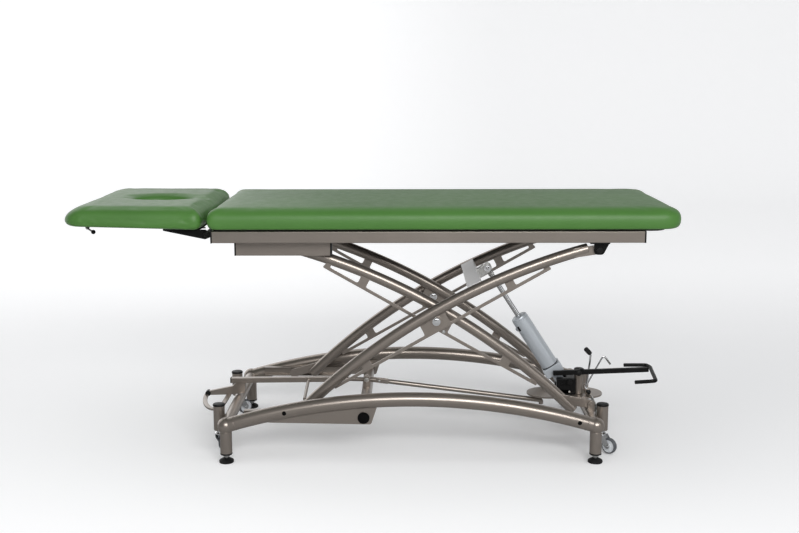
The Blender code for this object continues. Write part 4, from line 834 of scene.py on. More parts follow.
def outer_cross_member():
    reach = OUTER_Y - ARM_R * 0.9
    half, tall, mid = CROSS_LONG / 2, CROSS_TALL / 2, bend_z(CROSS_X)
    corners = [(CROSS_X - half, mid - tall), (CROSS_X + half, mid - tall), (CROSS_X + half, mid + tall),
               (CROSS_X - half, mid + tall)]
    outline = rounded([arm_xz(1.0, *corner) for corner in corners], RIM * 2, 3)
    # The plate's near-white colour is a painted reflection.
    shells = reflection_white(flat(outline, (-reach, reach)))
    inner = ROD_EYE / 2 + FIT * 4
    root = arm_xz(1.0, CROSS_X + half * 0.4, mid)
    for side in SIDES.values():
        shells += zinc(flat(capsule(root, EYE, ROD_EYE_R), span(inner, inner + FORK, side)))
        shells += chrome(*bolt((EYE_X, side * (inner + FORK), EYE_Z), side, BOLT_R, BOLT_R * 0.8))
    piece("lift_cross_member", "outer_arms", "frame_paint", shells, "outer_cross_member")


# Lift unit
def on_lift(distance):
    return SEAT + LIFT_UP * distance


def lift_cylinder():
    foot_high = CYLINDER_LOW + CYLINDER_FOOT_R
    chamfer = CYLINDER_R * 0.2
    bore = ROD_R + FIT
    profile = [(0.0, CYLINDER_LOW + RIM), (CYLINDER_R, CYLINDER_LOW + RIM),
               (CYLINDER_R, CYLINDER_HIGH - chamfer * 2), (CYLINDER_R - RIM, CYLINDER_HIGH - chamfer * 1.7),
               (CYLINDER_R - RIM, CYLINDER_HIGH - chamfer * 1.5),
               (CYLINDER_R - RIM * 0.3, CYLINDER_HIGH - chamfer * 1.3),
               (CYLINDER_R - RIM, CYLINDER_HIGH - chamfer * 0.5), (CYLINDER_R - chamfer, CYLINDER_HIGH),
               (bore * 1.5, CYLINDER_HIGH), (bore * 1.4, CYLINDER_HIGH + RIM), (bore, CYLINDER_HIGH + RIM),
               (bore, CYLINDER_HIGH - chamfer), (0.0, CYLINDER_HIGH - chamfer)]
    shells = silver(turned(profile, SEAT, LIFT_UP, TUBE_SIDES * 2))
    top = on_lift(CYLINDER_LOW * 1.2)
    tongue = flat(capsule(SEAT_XZ, (top.x, top.z), ROD_EYE_R), (-TONGUE / 2, TONGUE / 2),
                  (circle(SEAT_XZ, PIN_R + FIT),))
    shells += silver(tongue)
    aside = Vector((LIFT_UP.z, 0.0, -LIFT_UP.x))
    block = bar((-CYLINDER_FOOT_R, -CYLINDER_FOOT_R, CYLINDER_LOW),
                (CYLINDER_FOOT_R, CYLINDER_FOOT_R, foot_high), RIM * 2)
    block.transform(Matrix.Translation(SEAT) @ Matrix((aside, ALONG_Y, LIFT_UP)).transposed().to_4x4())
    shells += silver(block)
    shells += rubber(bead(on_lift(foot_high + RIM), LIFT_UP, CYLINDER_R, RIM))
    port = on_lift(CYLINDER_HIGH * 0.86) - aside * (CYLINDER_R - RIM * 2)
    shells += silver(rod(port, port - aside * RIM * 4, PIN_R * 1.3, WIRE_SIDES))
    shells += black(rod(port, port - aside * RIM * 5, PIN_R * 0.8, WIRE_SIDES))
    slot = on_lift(CYLINDER_HIGH * 0.87) - aside * CYLINDER_R * 0.72 - Vector((0.0, CYLINDER_R * 0.66, 0.0))
    shells += black(rod(slot - LIFT_UP * PIN_R * 1.5, slot + LIFT_UP * PIN_R * 1.5, PIN_R * 0.75,
                        WIRE_SIDES))
    piece("cylinder", "lift_cylinder_body", "bright_steel", shells, "lift_cylinder")


def piston_rod():
    shells = chrome(rod(on_lift(ROD_START), on_lift(LIFT_LONG - ROD_EYE_R * 0.6), ROD_R, TUBE_SIDES))
    ring = [(BOLT_R, ROD_EYE / 2), (ROD_EYE_R - RIM, ROD_EYE / 2), (ROD_EYE_R, ROD_EYE / 2 - RIM)]
    shells += zinc(turned(mirrored(ring), (EYE_X, 0.0, EYE_Z), ALONG_Y, TURN_SIDES, True))
    neck = [(0.0, 0.0), (ROD_R * 1.2, 0.0), (ROD_R * 1.35, RIM), (ROD_R * 1.35, ROD_R * 1.4),
            (ROD_R * 1.2, ROD_R * 1.6), (0.0, ROD_R * 1.6)]
    shells += zinc(turned(neck, on_lift(LIFT_LONG - ROD_EYE_R * 2.0), LIFT_UP, HEXAGON))
    piece("lift_rod", "piston_rod_body", "bright_steel", shells, "piston_rod")


# Pump, pedals and levers
STAY_R = 0.0046
TRAY_SIDES, LEVER_SIDES = 30, 20


def pump_tray():
    body = flat(capsule((TRAY_X[0] + TRAY_HALF, 0.0), (TRAY_X[1] - TRAY_HALF, 0.0), TRAY_HALF, TRAY_SIDES),
                (TRAY_LOW, TRAY_HIGH), lying=True)
    shells = painted(body)
    pin_z = TRAY_HIGH + LEVER_LIFT
    for side in SIDES.values():
        outline = capsule((LEVER_X, TRAY_HIGH - TRAY / 2 + LEVER_R * 2), (LEVER_X, pin_z), LEVER_R * 2)
        shells += painted(flat(outline, span(TAB_Y, TAB_Y + TAB, side),
                               (circle((LEVER_X, pin_z), LEVER_R + FIT, LEVER_SIDES),)))
    for end in STAY_ENDS:
        shells += zinc(sweep(eased([STAY_TOP, STAY_EDGE, end], WIRE_R * 3, 6, False), STAY_R))
    piece("tray", "base", "frame_paint", shells, "pump_tray")


def pump_body():
    """A cast body whose two cheeks hold the cylinder's foot, with its valve caps and cover screws."""
    low, edge = TRAY_HIGH + FIT, TRAY * 0.6
    half = TONGUE / 2 + FIT * 2
    back = SEAT_X + ROD_EYE_R + FIT * 5
    shells = enamel(bar((back, -PUMP_HALF, low), (PUMP_X[1], PUMP_HALF, PUMP_TOP), edge),
                    bar((PUMP_X[0], -PUMP_HALF, low),
                        (back + edge * 2, PUMP_HALF, SEAT_Z - ROD_EYE_R - FIT * 5), edge * 0.6))
    shells += painted(rod((TOWER_X, TOWER_Y, low), (TOWER_X, TOWER_Y, TOWER_TOP - TOWER_R), TOWER_R - RIM,
                          TUBE_SIDES))
    shells += black(rod((TOWER_X, TOWER_Y, TOWER_TOP - TOWER_R * 1.2), (TOWER_X, TOWER_Y, TOWER_TOP - RIM),
                        TOWER_R, TUBE_SIDES, RIM * 3, RIM))
    for side in SIDES.values():
        y_low, y_high = span(half, PUMP_HALF, side)
        shells += enamel(bar((PUMP_X[0], y_low, low), (back + edge * 2, y_high, PUMP_TOP), edge))
        shells += enamel(*bolt((SEAT_X, side * PUMP_HALF, SEAT_Z), side, PIN_R * 0.8, PIN_R * 0.6))
        for x, z in ((PUMP_X[0] + edge * 3, low + edge * 3), (back + edge * 2, low + edge * 3)):
            shells += zinc(*bolt((x, side * PUMP_HALF, z), side, PIN_R * 0.45, PIN_R * 0.5))
        cap = [(0.0, -RIM), (PIN_R * 1.6, -RIM), (PIN_R * 1.6, RIM * 3), (PIN_R * 1.3, RIM * 4),
               (0.0, RIM * 4)]
        shells += black(turned(cap, (back + edge * 2, side * PUMP_HALF, PUMP_TOP - edge * 4),
                               (0.0, side, 0.0)))
    shells += zinc(across(*SEAT_XZ, (-PUMP_HALF, PUMP_HALF), PIN_R))
    piece("pump", "base", "black_plastic", shells, "pump_body")


def pump_pedal():
    left, right = BAR_LEFT, BAR_RIGHT
    corners = [(left[0], left[1] - left[2] / 2), (right[0], right[1] - right[2] / 2),
               (right[0], right[1] + right[2] / 2), (left[0], left[1] + left[2] / 2)]
    outline = rounded(corners, RIM * 2)
    shells = enamel(flat(outline, BAR_Y, edge=EDGE * 1.6),
                    sweep(eased(LOOP, LOOP_R * 2.2, 7, False), LOOP_R, WIRE_SIDES + 4),
                    across(PEDAL_X, PEDAL_Z, (BAR_Y[0] - RIM, -FIT * 10), PIN_R))
    dome = [(0.0, -RIM), (PIN_R * 1.9, -RIM), (PIN_R * 1.9, RIM), (PIN_R * 1.5, RIM * 3),
            (PIN_R * 0.8, RIM * 4), (0.0, RIM * 4.2)]
    shells += black(turned(dome, (PEDAL_X, BAR_Y[0], PEDAL_Z), (0.0, -1.0, 0.0)),
                    turned(dome, (PEDAL_X + PIN_R * 2, sum(BAR_Y) / 2, PEDAL_Z + left[2] * 0.45), UP))
    piece("foot_pedal", "pump_pedal_body", "black_plastic", shells, "pump_pedal")


KNOB, KNOB_R = 0.009, 0.0085


def release_lever():
    pin_z = TRAY_HIGH + LEVER_LIFT
    reach = TAB_Y + TAB + FIT * 5
    stalk_y, wire_y = TAB_Y * 0.3, TAB_Y * 0.75
    turn = math.radians(GRIP_TURN)
    low, lean = Vector((GRIP_LOW[0], stalk_y, GRIP_LOW[1])), Vector((math.sin(turn), 0.0, math.cos(turn)))
    stalk = [(LEVER_X, stalk_y, pin_z), low - Vector((LEVER_R * 0.4, 0.0, GRIP_LONG)), low,
             low + lean * GRIP_LONG * 0.7]
    wire = [(LEVER_X, wire_y, pin_z)] + [(x, wire_y, z) for x, z in WIRE]
    shells = chrome(across(LEVER_X, pin_z, (-reach, reach), LEVER_R),
                    sweep(eased(stalk, LEVER_R * 2, 6, False), LEVER_R * 0.75),
                    sweep(eased(wire, WIRE_R * 3, 8, False), WIRE_R))
    grip = rounded([(0.0, 0.0), (GRIP_R * 0.8, 0.0), (GRIP_R, GRIP_LONG * 0.2), (GRIP_R, GRIP_LONG * 0.85),
                    (GRIP_R * 0.7, GRIP_LONG), (0.0, GRIP_LONG)], RIM * 1.5, 4, False)
    shells += rubber(turned(grip, low, lean))
    for side in SIDES.values():
        shells += black(across(LEVER_X, pin_z, span(reach - RIM, reach + KNOB, side), KNOB_R, TURN_SIDES,
                               RIM * 2, RIM))
    piece("lowering_lever", "release_lever_body", "bright_steel", shells, "release_lever")


# Head-end foot lever
def hoop_outline():
    """The outline of the flat hoop beside the lever's arm, which bends round towards the near side."""
    outer, inner = [], []
    for i in range(STATIONS + 1):
        turn = math.pi * (1.0 - i / STATIONS)
        reach, along = math.sin(turn), math.cos(turn)
        x, y = HOOP_X + HOOP_HALF * along + HOOP_SKEW * reach * reach, -HOOP_LONG * reach
        ahead = Vector((HOOP_HALF * reach - HOOP_SKEW * math.sin(2 * turn), HOOP_LONG * along, 0.0))
        ahead.normalize()
        aside = Vector((-ahead.y, ahead.x, 0.0)) * (HOOP_WIDE / 2)
        outer.append((x - aside.x, y - aside.y))
        inner.append((x + aside.x, y + aside.y))
    return outer + inner[::-1]


def foot_lever():
    half, thick, deep = BAR_TALL / 2, BAR_THICK / 2, BAR_DEEP / 2
    corners = [(BAR_START[0], BAR_START[1] - half), (BAR_END[0], BAR_END[1] - half),
               (BAR_END[0], BAR_END[1] + half), (BAR_START[0], BAR_START[1] + half)]
    outline = rounded(corners, RIM)
    pin_z = (BAR_START[1] + BAR_END[1]) / 2
    arm_plate = rounded(ARM_OUTLINE, RIM * 3)
    neck_z = JOIN_Z + (FULCRUM_Z - JOIN_Z) * 0.4
    neck = rod((BAR_END[0] - BAR_TALL, 0.0, BAR_END[1]), (JOIN_X - BOSS_R, 0.0, neck_z), LINK_R * 0.85)
    shells = painted(flat(outline, (-deep, deep), edge=EDGE * 1.8),
                     flat(arm_plate, (-deep * 0.7, deep * 0.7), edge=EDGE * 1.4),
                     flat(hoop_outline(), HOOP_Z, edge=EDGE * 1.4, lying=True),
                     neck, flat(capsule(FULCRUM, JOIN, LINK_R), (-thick * 0.8, thick * 0.8)),
                     across(*FULCRUM, (-thick - FIT * 5, thick + FIT * 5), BOSS_R),
                     rod((CROSS_PIN_X, 0.0, pin_z), CROSS_PIN_END, CROSS_PIN_R))
    shells += zinc(across(*JOIN, (-BAR_THICK * 1.2, BAR_THICK * 1.2), AXLE_R))
    shells += black(bar((BAR_START[0] - RIM, -deep - FIT, BAR_START[1] - half - FIT),
                        (BAR_START[0] + RIM * 2, deep + FIT, BAR_START[1] + half + FIT), RIM * 0.7))
    tip = ARM_OUTLINE[0][0] + RIM * 2, (ARM_OUTLINE[0][1] + ARM_OUTLINE[-1][1]) / 2
    shells += black(across(*tip, (-deep, deep), BAR_TALL * 0.55))
    piece("head_lever", "foot_lever_body", "frame_paint", shells, "foot_lever")


def push_rod():
    start, end = Vector((JOIN_X, 0.0, JOIN_Z)), Vector((ROD_END[0], 0.0, ROD_END[1]))
    ahead = (end - start).normalized()
    inner, wall = BAR_THICK * 0.4 + FIT * 3, TAB * 0.8
    tip = start + ahead * BOSS_R * 2.2
    path = eased([start + ahead * BOSS_R * 1.6, end, end - Vector((0.0, 0.0, LINK_R * 1.6))], LINK_R * 1.6,
                 6, False)
    shells = painted(sweep(path, LINK_R * 0.92, TUBE_SIDES))
    for side in SIDES.values():
        outline = capsule(JOIN, (tip.x, tip.z), LINK_R * 0.9)
        shells += painted(flat(outline, span(inner, inner + wall, side)))
    piece("thrust_rod", "push_rod_body", "frame_paint", shells, "push_rod")


# Bed
END_CAP, RAIL_EDGE = 0.0055, 0.003


def bed_rail(name, side):
    y_low, y_high = span(*RAIL_Y, side)
    wall = TAB * 1.5
    shells = painted(bar((RAIL_X[0] + END_CAP * 0.5, y_low, RAIL_Z[0]),
                         (RAIL_X[1] - END_CAP * 0.5, y_high, RAIL_Z[1]), RAIL_EDGE))
    for x in (RAIL_X[0], RAIL_X[1] - END_CAP):
        shells += black(bar((x, y_low - FIT, RAIL_Z[0] - FIT), (x + END_CAP, y_high + FIT, RAIL_Z[1] - FIT),
                            RIM * 0.4))
    low, top = HIGH_Z - BRACKET_HALF * 0.88, RAIL_Z[0] + RIM * 8
    corners = [(FOOT_X - BRACKET_HALF * 0.9, low), (FOOT_X + BRACKET_HALF * 0.8, low),
               (FOOT_X + BRACKET_HALF * 1.9, RAIL_Z[0] - RIM * 3), (FOOT_X + BRACKET_HALF * 1.9, top),
               (FOOT_X - BRACKET_HALF * 0.9, top)]
    outline = rounded(corners, BRACKET_HALF * 0.8, 6)
    shells += enamel(flat(outline, span(RAIL_Y[0] + FIT, RAIL_Y[0] + wall, side)))
    shells += enamel(bar((FOOT_X - BRACKET_HALF * 1.8, y_low + RIM * 2, RAIL_Z[0] - RIM * 3),
                         (FOOT_X + BRACKET_HALF * 1.8, y_high - RIM * 2, RAIL_Z[0] + RIM), RIM))
    lug = top_lug_y()
    shells += zinc(across(FOOT_X, HIGH_Z, span(lug[0] - FIT * 4, RAIL_Y[0] + wall, side), PIN_R))
    knob = [(0.0, -RIM), (BRACKET_HALF * 0.6, -RIM), (BRACKET_HALF * 0.62, RIM * 2),
            (BRACKET_HALF * 0.5, RIM * 4), (0.0, RIM * 4.4)]
    shells += black(turned(knob, (FOOT_X, side * (RAIL_Y[0] + wall), HIGH_Z), (0.0, side, 0.0)))
    ends = span(RAIL_Y[0] + FIT, RAIL_Y[0] + wall, side)
    root = (RAIL_X[0] + HINGE_HUB_R * 2, HINGE_Z - FIT * 8)
    tab = flat(capsule(HINGE, root, HINGE_HUB_R * 0.8), ends, (circle(HINGE, HINGE_R + FIT),))
    shells += enamel(tab)
    piece(f"rail_{name}", "bed", "frame_paint", shells, f"bed_rail_{name}")


def track_caps():
    half = HIGH_ROLLER_R + FIT + TRACK_WALL
    for name, side in SIDES.items():
        shells = []
        y_low, y_high = span(*HIGH_TRACK_Y, side)
        for x in (HIGH_TRACK_X[0] - END_CAP * 0.7, HIGH_TRACK_X[1] - END_CAP * 0.3):
            shells += black(bar((x, y_low - FIT, HIGH_Z - half - FIT),
                                (x + END_CAP, y_high + FIT, HIGH_Z + half + FIT), RIM * 0.4))
        piece(f"track_caps_{name}", "bed", "black_plastic", shells)


def headrest_turn():
    return turn_about((HINGE_X, 0.0, HINGE_Z), HEAD_TILT, "Y")


def headrest_frame():
    top = BOARD_LOW - FIT
    reach = RAIL_Y[0] + TAB * 1.5 + FIT * 5
    shells = enamel(across(*HINGE, (-reach, reach), HINGE_R))
    outline = rounded([(HEAD_ARM_TIP, top), (HEAD_ARM_TIP, top - HEAD_ARM),
                       (HINGE_X - HINGE_HUB_R * 0.6, HINGE_Z - HINGE_HUB_R * 1.6),
                       (HINGE_X + HINGE_R, HINGE_Z - HINGE_HUB_R * 1.1), (HINGE_X + HINGE_R, HINGE_Z),
                       (HINGE_X - HINGE_HUB_R * 0.4, top)], RIM * 2)
    for side in SIDES.values():
        ends = span(HEAD_ARM_Y - HEAD_ARM / 2, HEAD_ARM_Y + HEAD_ARM / 2, side)
        shells += enamel(flat(outline, ends), across(*HINGE, ends, HINGE_HUB_R * 0.7))
    piece("headrest_arms", "headrest", "black_plastic", moved(shells, headrest_turn()), "headrest_frame")


def headrest_lever():
    shells = black(ball((BALL_X, CATCH_Y, BALL_Z), BALL_R))
    ends = (CATCH_Y - CATCH_R, CATCH_Y + BALL_R + TAB * 1.3)
    stalk = rod((CATCH_X, CATCH_Y, CATCH_Z), (BALL_X, CATCH_Y, BALL_Z), CATCH_R, WIRE_SIDES)
    shells += zinc(across(CATCH_X, CATCH_Z, ends, CATCH_R, WIRE_SIDES), stalk)
    piece("catch_lever", "headrest_lever_body", "black_plastic", moved(shells, headrest_turn()),
          "headrest_lever")


def headrest_release_rod():
    y, z = CATCH_Y + 2 * BALL_R + TAB, BOARD_LOW - CATCH_R - FIT
    shell = rod((CATCH_X + CATCH_R * 2, y, z), (HINGE_X - HINGE_R - CATCH_R * 3, y, z), CATCH_R, WIRE_SIDES)
    piece("catch_rod", "headrest_rod_body", "bright_steel", moved(zinc(shell), headrest_turn()),
          "headrest_release_rod")


# Cushions
PAD_SIDE = ((0.0, 0.014), (0.06, 0.007), (0.17, 0.002), (0.30, 0.0005), (0.43, 0.0), (0.58, 0.001),
            (0.72, 0.0035), (0.83, 0.0085), (0.92, 0.016), (0.975, 0.026), (1.0, 0.042))
FACE_EDGE = ((0.060, -0.1), (0.022, 0.0), (0.009, 0.6), (0.0025, 1.8), (0.0, 4.0))
FACE_FLARE = 0.003
VOXELS = {"main": 0.0080, "headrest": 0.0055}
HELD = 0.0035
SWELL_CAP = 0.005
PRESSURE = 2.5
EVEN, DRAWN = (0.5, 4), (0.5, 6)
PAD_STEPS, PAD_FILL, WIDEST_RING = (24, 12), 0.9, 4
SWELL_FRAMES = 20


def rounded_box(x_ends, half, corner, steps):
    head, foot = corner
    left, right = x_ends[0] + head, x_ends[1] - foot
    corners = (((right, half - foot), foot, 0.0), ((left, half - head), head, 90.0),
               ((left, head - half), head, 180.0), ((right, foot - half), foot, 270.0))
    loops = [circle(centre, radius, CORNER_STEPS, first, first + 90.0) for centre, radius, first in corners]
    points = []
    for number, loop in enumerate(loops):
        points += loop
        after = loops[(number + 1) % 4][0]
        count = steps[number % 2]
        for i in range(1, count):
            points.append(tuple(a + (b - a) * i / count for a, b in zip(loop[-1], after)))
    return points


def cushion_ring(x_ends, corner, inset, z, ends=(1.0, 1.0)):
    reduced = tuple(max(radius - inset * 0.5, radius * 0.3) for radius in corner)
    plan = rounded_box((x_ends[0] + inset * ends[0], x_ends[1] - inset * ends[1]), PAD_HALF - inset,
                       reduced, PAD_STEPS)
    return [(x, y, z) for x, y in plan]


def face_ring(outline, grow, z):
    points = []
    for x, y, _ in outline:
        turn = math.atan2(y / PAD_HALF, (x - FACE_X) / ((HEAD_PAD_X[1] - HEAD_PAD_X[0]) / 2))
        points.append((FACE_X + (FACE_LONG + grow) * math.cos(turn), (FACE_WIDE + grow) * math.sin(turn),
                       z))
    return points


def evaluated(obj):
    bpy.context.view_layer.update()
    return bpy.data.meshes.new_from_object(obj.evaluated_get(bpy.context.evaluated_depsgraph_get()))


def applied(obj):
    """The object's mesh with its modifiers made real."""
    mesh = evaluated(obj)
    obj.modifiers.clear()
    obj.data = mesh


def swollen(obj, low):
    """The cover drawn tight over its filling by a short cloth run under pressure, held flat below."""
    start = [vert.co.copy() for vert in obj.data.vertices]
    held = obj.vertex_groups.new(name="held")
    held.add([vert.index for vert in obj.data.vertices if vert.co.z < low + HELD], 1.0, "REPLACE")
    cloth = obj.modifiers.new("cover", "CLOTH")
    cloth.settings.vertex_group_mass = "held"
    cloth.settings.use_pressure = True
    cloth.settings.uniform_pressure_force = PRESSURE
    cloth.settings.effector_weights.gravity = 0.0
    cloth.point_cache.frame_start, cloth.point_cache.frame_end = 1, SWELL_FRAMES
    scene = bpy.context.scene
    for number in range(1, SWELL_FRAMES + 1):
        scene.frame_set(number)
    swelled = evaluated(obj)
    obj.modifiers.clear()
    for vert, first, last in zip(obj.data.vertices, start, swelled.vertices):
        step = last.co - first
        vert.co = first + step * min(1.0, SWELL_CAP / max(step.length, WELD))
        vert.co.z = max(vert.co.z, low)
    bpy.data.meshes.remove(swelled)
    scene.frame_set(1)


def fitted(mesh, low, high):
    """The mesh stretched a little so that it fills its box."""
    first = [min(vert.co[i] for vert in mesh.vertices) for i in range(3)]
    last = [max(vert.co[i] for vert in mesh.vertices) for i in range(3)]
    for vert in mesh.vertices:
        for i in range(3):
            vert.co[i] = low[i] + (vert.co[i] - first[i]) * (high[i] - low[i]) / (last[i] - first[i])


def tapered(point):
    """A point of the headrest cushion, which thins towards its nose."""
    x, y, z = point
    share = (HEAD_PAD_X[1] - x) / (HEAD_PAD_X[1] - HEAD_PAD_X[0])
    nose = max(0.0, 1.0 - (x - HEAD_PAD_X[0]) / NOSE_LONG)
    return x, y, PAD_LOW + (z - PAD_LOW) * (1.0 - HEAD_TAPER * share - NOSE_DROP * nose * nose)


def cushion(name, mesh, voxel, x_ends, body, node):
    obj = bpy.data.objects.new(name, mesh)
    bpy.context.scene.collection.objects.link(obj)
    remesh = obj.modifiers.new("cells", "REMESH")
    remesh.mode = "VOXEL"
    remesh.voxel_size = voxel
    smooth = obj.modifiers.new("even", "SMOOTH")
    smooth.factor, smooth.iterations = EVEN
    applied(obj)
    swollen(obj, PAD_LOW)
    drawn = obj.modifiers.new("drawn", "SMOOTH")
    drawn.factor, drawn.iterations = DRAWN
    fine = obj.modifiers.new("fine", "SUBSURF")
    fine.levels = fine.render_levels = 1
    applied(obj)
    fitted(obj.data, (x_ends[0], -PAD_HALF, PAD_LOW), (x_ends[1], PAD_HALF, PAD_LOW + PAD_TALL + CROWN))
    obj.data.materials.clear()
    obj.data.materials.append(MATERIALS["upholstery"])
    obj.data.shade_smooth()
    settled(obj, body, "upholstery", node)
    return obj


def main_pad():
    corner = (PAD_HEAD_CORNER, PAD_CORNER)
    rings = [cushion_ring(PAD_X, corner, inset, PAD_LOW + PAD_TALL * up) for up, inset in PAD_SIDE]
    rings.append(cushion_ring(PAD_X, corner, PAD_HALF * 0.5, PAD_LOW + PAD_TALL + CROWN * 0.8))
    rings.append(cushion_ring(PAD_X, corner, PAD_HALF * 0.85, PAD_LOW + PAD_TALL + CROWN))
    cushion("bed_cushion", loft(rings), VOXELS["main"], PAD_X, "bed", "main_pad")


def headrest_pad():
    corner = (PAD_CORNER, PAD_HEAD_CORNER)
    top = PAD_LOW + PAD_TALL
    rings = [cushion_ring(HEAD_PAD_X, corner, inset, PAD_LOW + PAD_TALL * up) for up, inset in PAD_SIDE]
    outline = rings[WIDEST_RING]
    for grow, depth in FACE_EDGE:
        rings.append(face_ring(outline, grow, top - CROWN * depth))
    rings.append(face_ring(outline, FACE_FLARE, PAD_LOW))
    made = cushion("headrest_cushion", loft(rings, True), VOXELS["headrest"], HEAD_PAD_X, "headrest",
                   "headrest_pad")
    for vert in made.data.vertices:
        vert.co = tapered(vert.co)
    made.data.transform(headrest_turn())


# Nodes of the frame that stay as they are take the same finishes
KEPT = {"roller_track": "frame_paint", "upper_track": "frame_paint", "bed_bar": "frame_paint",
        "bed_board": "board", "headrest_board": "board"}


def kept_nodes():
    for name, obj in frame["nodes"].items():
        for start, look in KEPT.items():
            if name.startswith(start):
                obj.data.materials.clear()
                obj.data.materials.append(MATERIALS[look])


# Stage
FLOOR_HALF, FLOOR_BACK, SWEEP_R, WALL_HIGH = 30.0, 7.0, 2.0, 26.0
SWEEP_STEPS, GROUND_ROUGH, WORLD_TINT = 12, 0.8, (0.97, 0.98, 1.0, 1.0)
GROUND, GROUND_IN_GLOSS = (0.90, 0.90, 0.90), (0.36, 0.36, 0.36)
SEEN_GLOW = (("X", 1.4, -1.4, 0.01, 0.17),)
FAR_GLOW = (("Y", 0.2, 3.6, 0.0, 0.25), ("Y", -4.0, -10.0, 0.0, 0.34), ("X", 5.0, 11.0, 0.0, 0.34),
            ("X", -5.0, -11.0, 0.0, 0.25))
GLOSS_GLOW = (("Y", 0.2, 1.2, 0.0, 1.0), ("X", -0.5, -2.8, 0.36, 1.2))
WORLD_SEEN, WORLD_IN_GLOSS, WORLD_LIGHT = 1.0, 0.12, 0.66
LAMPS = (("key", (1.0, -4.7, 2.75), (0.2, 0.0, 0.45), (3.4, 1.5), 165.0),
         ("right", (3.6, -2.4, 1.6), (0.2, 0.0, 0.5), (0.8, 1.4), 8.0))


def light_path(tree):
    return tree.nodes.new("ShaderNodeLightPath").outputs


def glow(tree, apart, ray, steps):
    """How much the ground glows for one kind of ray: the product of ramps along its axes."""
    level = ray
    for axis, start, end, low, high in steps:
        ramp = tree.nodes.new("ShaderNodeMapRange")
        ramp.interpolation_type = "SMOOTHSTEP"
        for name, value in (("From Min", start), ("From Max", end), ("To Min", low), ("To Max", high)):
            ramp.inputs[name].default_value = value
        tree.links.new(apart.outputs[axis], ramp.inputs["Value"])
        node = tree.nodes.new("ShaderNodeMath")
        node.operation = "MULTIPLY"
        tree.links.new(level, node.inputs[0])
        tree.links.new(ramp.outputs["Result"], node.inputs[1])
        level = node.outputs[0]
    return level


def stage_material():
    """White paper that keeps the shadow, a little brighter where it is seen straight and far off."""
    made = bpy.data.materials.new("ground")
    made.use_nodes = True
    tree = made.node_tree
    shader = tree.nodes["Principled BSDF"]
    shader.inputs["Roughness"].default_value = GROUND_ROUGH
    shader.inputs["Specular IOR Level"].default_value = 0.0
    path = light_path(tree)
    tone = tree.nodes.new("ShaderNodeMix")
    tone.data_type = "RGBA"
    ends = coloured(tone.inputs)
    ends[0].default_value, ends[1].default_value = (*GROUND, 1.0), (*GROUND_IN_GLOSS, 1.0)
    tree.links.new(path["Is Glossy Ray"], tone.inputs["Factor"])
    tree.links.new(coloured(tone.outputs)[0], shader.inputs["Base Color"])
    apart = tree.nodes.new("ShaderNodeSeparateXYZ")
    tree.links.new(tree.nodes.new("ShaderNodeTexCoord").outputs["Object"], apart.inputs[0])
    level = glow(tree, apart, path["Is Glossy Ray"], GLOSS_GLOW)
    for steps in (SEEN_GLOW, *((step,) for step in FAR_GLOW)):
        both = tree.nodes.new("ShaderNodeMath")
        tree.links.new(level, both.inputs[0])
        tree.links.new(glow(tree, apart, path["Is Camera Ray"], steps), both.inputs[1])
        level = both.outputs[0]
    shader.inputs["Emission Color"].default_value = (1.0, 1.0, 1.0, 1.0)
    tree.links.new(level, shader.inputs["Emission Strength"])
    return made


def stage():
    half = FLOOR_HALF
    profile = [(-half, 0.0), (FLOOR_BACK, 0.0)]
    for i in range(1, SWEEP_STEPS + 1):
        a = math.radians(90.0 * i / SWEEP_STEPS)
        profile.append((FLOOR_BACK + SWEEP_R * math.sin(a), SWEEP_R * (1 - math.cos(a))))
    profile.append((FLOOR_BACK + SWEEP_R, WALL_HIGH))
    shape = bmesh.new()
    rows = [[shape.verts.new((x, y, z)) for y, z in profile] for x in (-half, half)]
    for i in range(len(profile) - 1):
        shape.faces.new((rows[0][i], rows[0][i + 1], rows[1][i + 1], rows[1][i]))
    mesh = bpy.data.meshes.new("ground")
    shape.to_mesh(mesh)
    shape.free()
    for face in mesh.polygons:
        face.use_smooth = True
    if mesh.polygons[0].normal.z < 0.0:
        mesh.flip_normals()
    obj = bpy.data.objects.new("ground", mesh)
    mesh.materials.append(stage_material())
    bpy.context.scene.collection.objects.link(obj)


def lamps():
    for name, place, target, size, power in LAMPS:
        lamp = bpy.data.lights.new(name, "AREA")
        lamp.shape = "RECTANGLE"
        lamp.size, lamp.size_y = size
        lamp.energy = power
        obj = bpy.data.objects.new(name, lamp)
        obj.location = place
        obj.rotation_euler = (Vector(target) - Vector(place)).to_track_quat("-Z", "Y").to_euler()
        bpy.context.scene.collection.objects.link(obj)


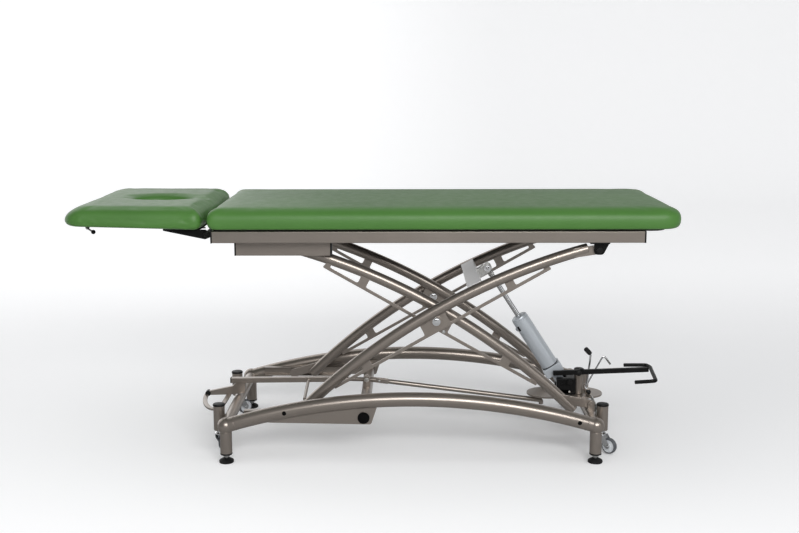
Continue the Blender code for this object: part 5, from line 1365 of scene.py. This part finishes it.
def world():
    """Seen straight it is the white ground; in reflections and as light it is dimmer."""
    made = bpy.data.worlds.new("studio")
    made.use_nodes = True
    tree = made.node_tree
    ground = tree.nodes["Background"]
    ground.inputs["Color"].default_value = WORLD_TINT
    path = light_path(tree)
    level = WORLD_LIGHT
    for ray, value in (("Is Glossy Ray", WORLD_IN_GLOSS), ("Is Camera Ray", WORLD_SEEN)):
        node = tree.nodes.new("ShaderNodeMix")
        inputs = [socket for socket in node.inputs if socket.type == "VALUE"]
        inputs[2].default_value = value
        if isinstance(level, float):
            inputs[1].default_value = level
        else:
            tree.links.new(level, inputs[1])
        tree.links.new(path[ray], inputs[0])
        level = node.outputs[0]
    tree.links.new(level, ground.inputs["Strength"])
    bpy.context.scene.world = made


def camera():
    lens = bpy.data.cameras.new("camera")
    lens.lens, lens.sensor_width = LENS, SENSOR
    lens.dof.use_dof = False
    obj = bpy.data.objects.new("camera", lens)
    pitch, yaw, roll = (math.radians(value) for value in (CAMERA_PITCH, CAMERA_YAW, CAMERA_ROLL))
    turn = Matrix.Identity(4)
    for angle, axis in ((yaw, "Z"), (math.pi / 2 - pitch, "X"), (roll, "Z")):
        turn = turn @ Matrix.Rotation(angle, 4, axis)
    obj.matrix_world = Matrix.Translation(CAMERA_PLACE) @ turn
    bpy.context.scene.collection.objects.link(obj)
    bpy.context.scene.camera = obj


def build():
    camera()
    finishes()
    kept_nodes()
    for name, side in SIDES.items():
        base_side(name, side)
        track_plate(name, side)
        pivot_bolt(name, side)
        bed_rail(name, side)
        roller("lower", name, side, LOW_ROLLER_Z, LOW_ROLLER_R, low_roller_y())
        roller("upper", name, side, HIGH_Z, HIGH_ROLLER_R, high_roller_y())
        for end, x in ENDS.items():
            levelling_foot(f"{end}_{name}", x, SIDE_Y * side)
    for end, x in ENDS.items():
        end_tube(end, x)
    for place in castor_places():
        castor_post(*place)
        castor(*place)
    for make in (base_cross_tube, arms, outer_cross_member, lift_cylinder, piston_rod, pump_tray, pump_body,
                 pump_pedal, release_lever, foot_lever, push_rod, track_caps, headrest_frame,
                 headrest_lever, headrest_release_rod, main_pad, headrest_pad, stage, lamps, world):
        make()
    bpy.context.scene.view_settings.view_transform = "Standard"


build()
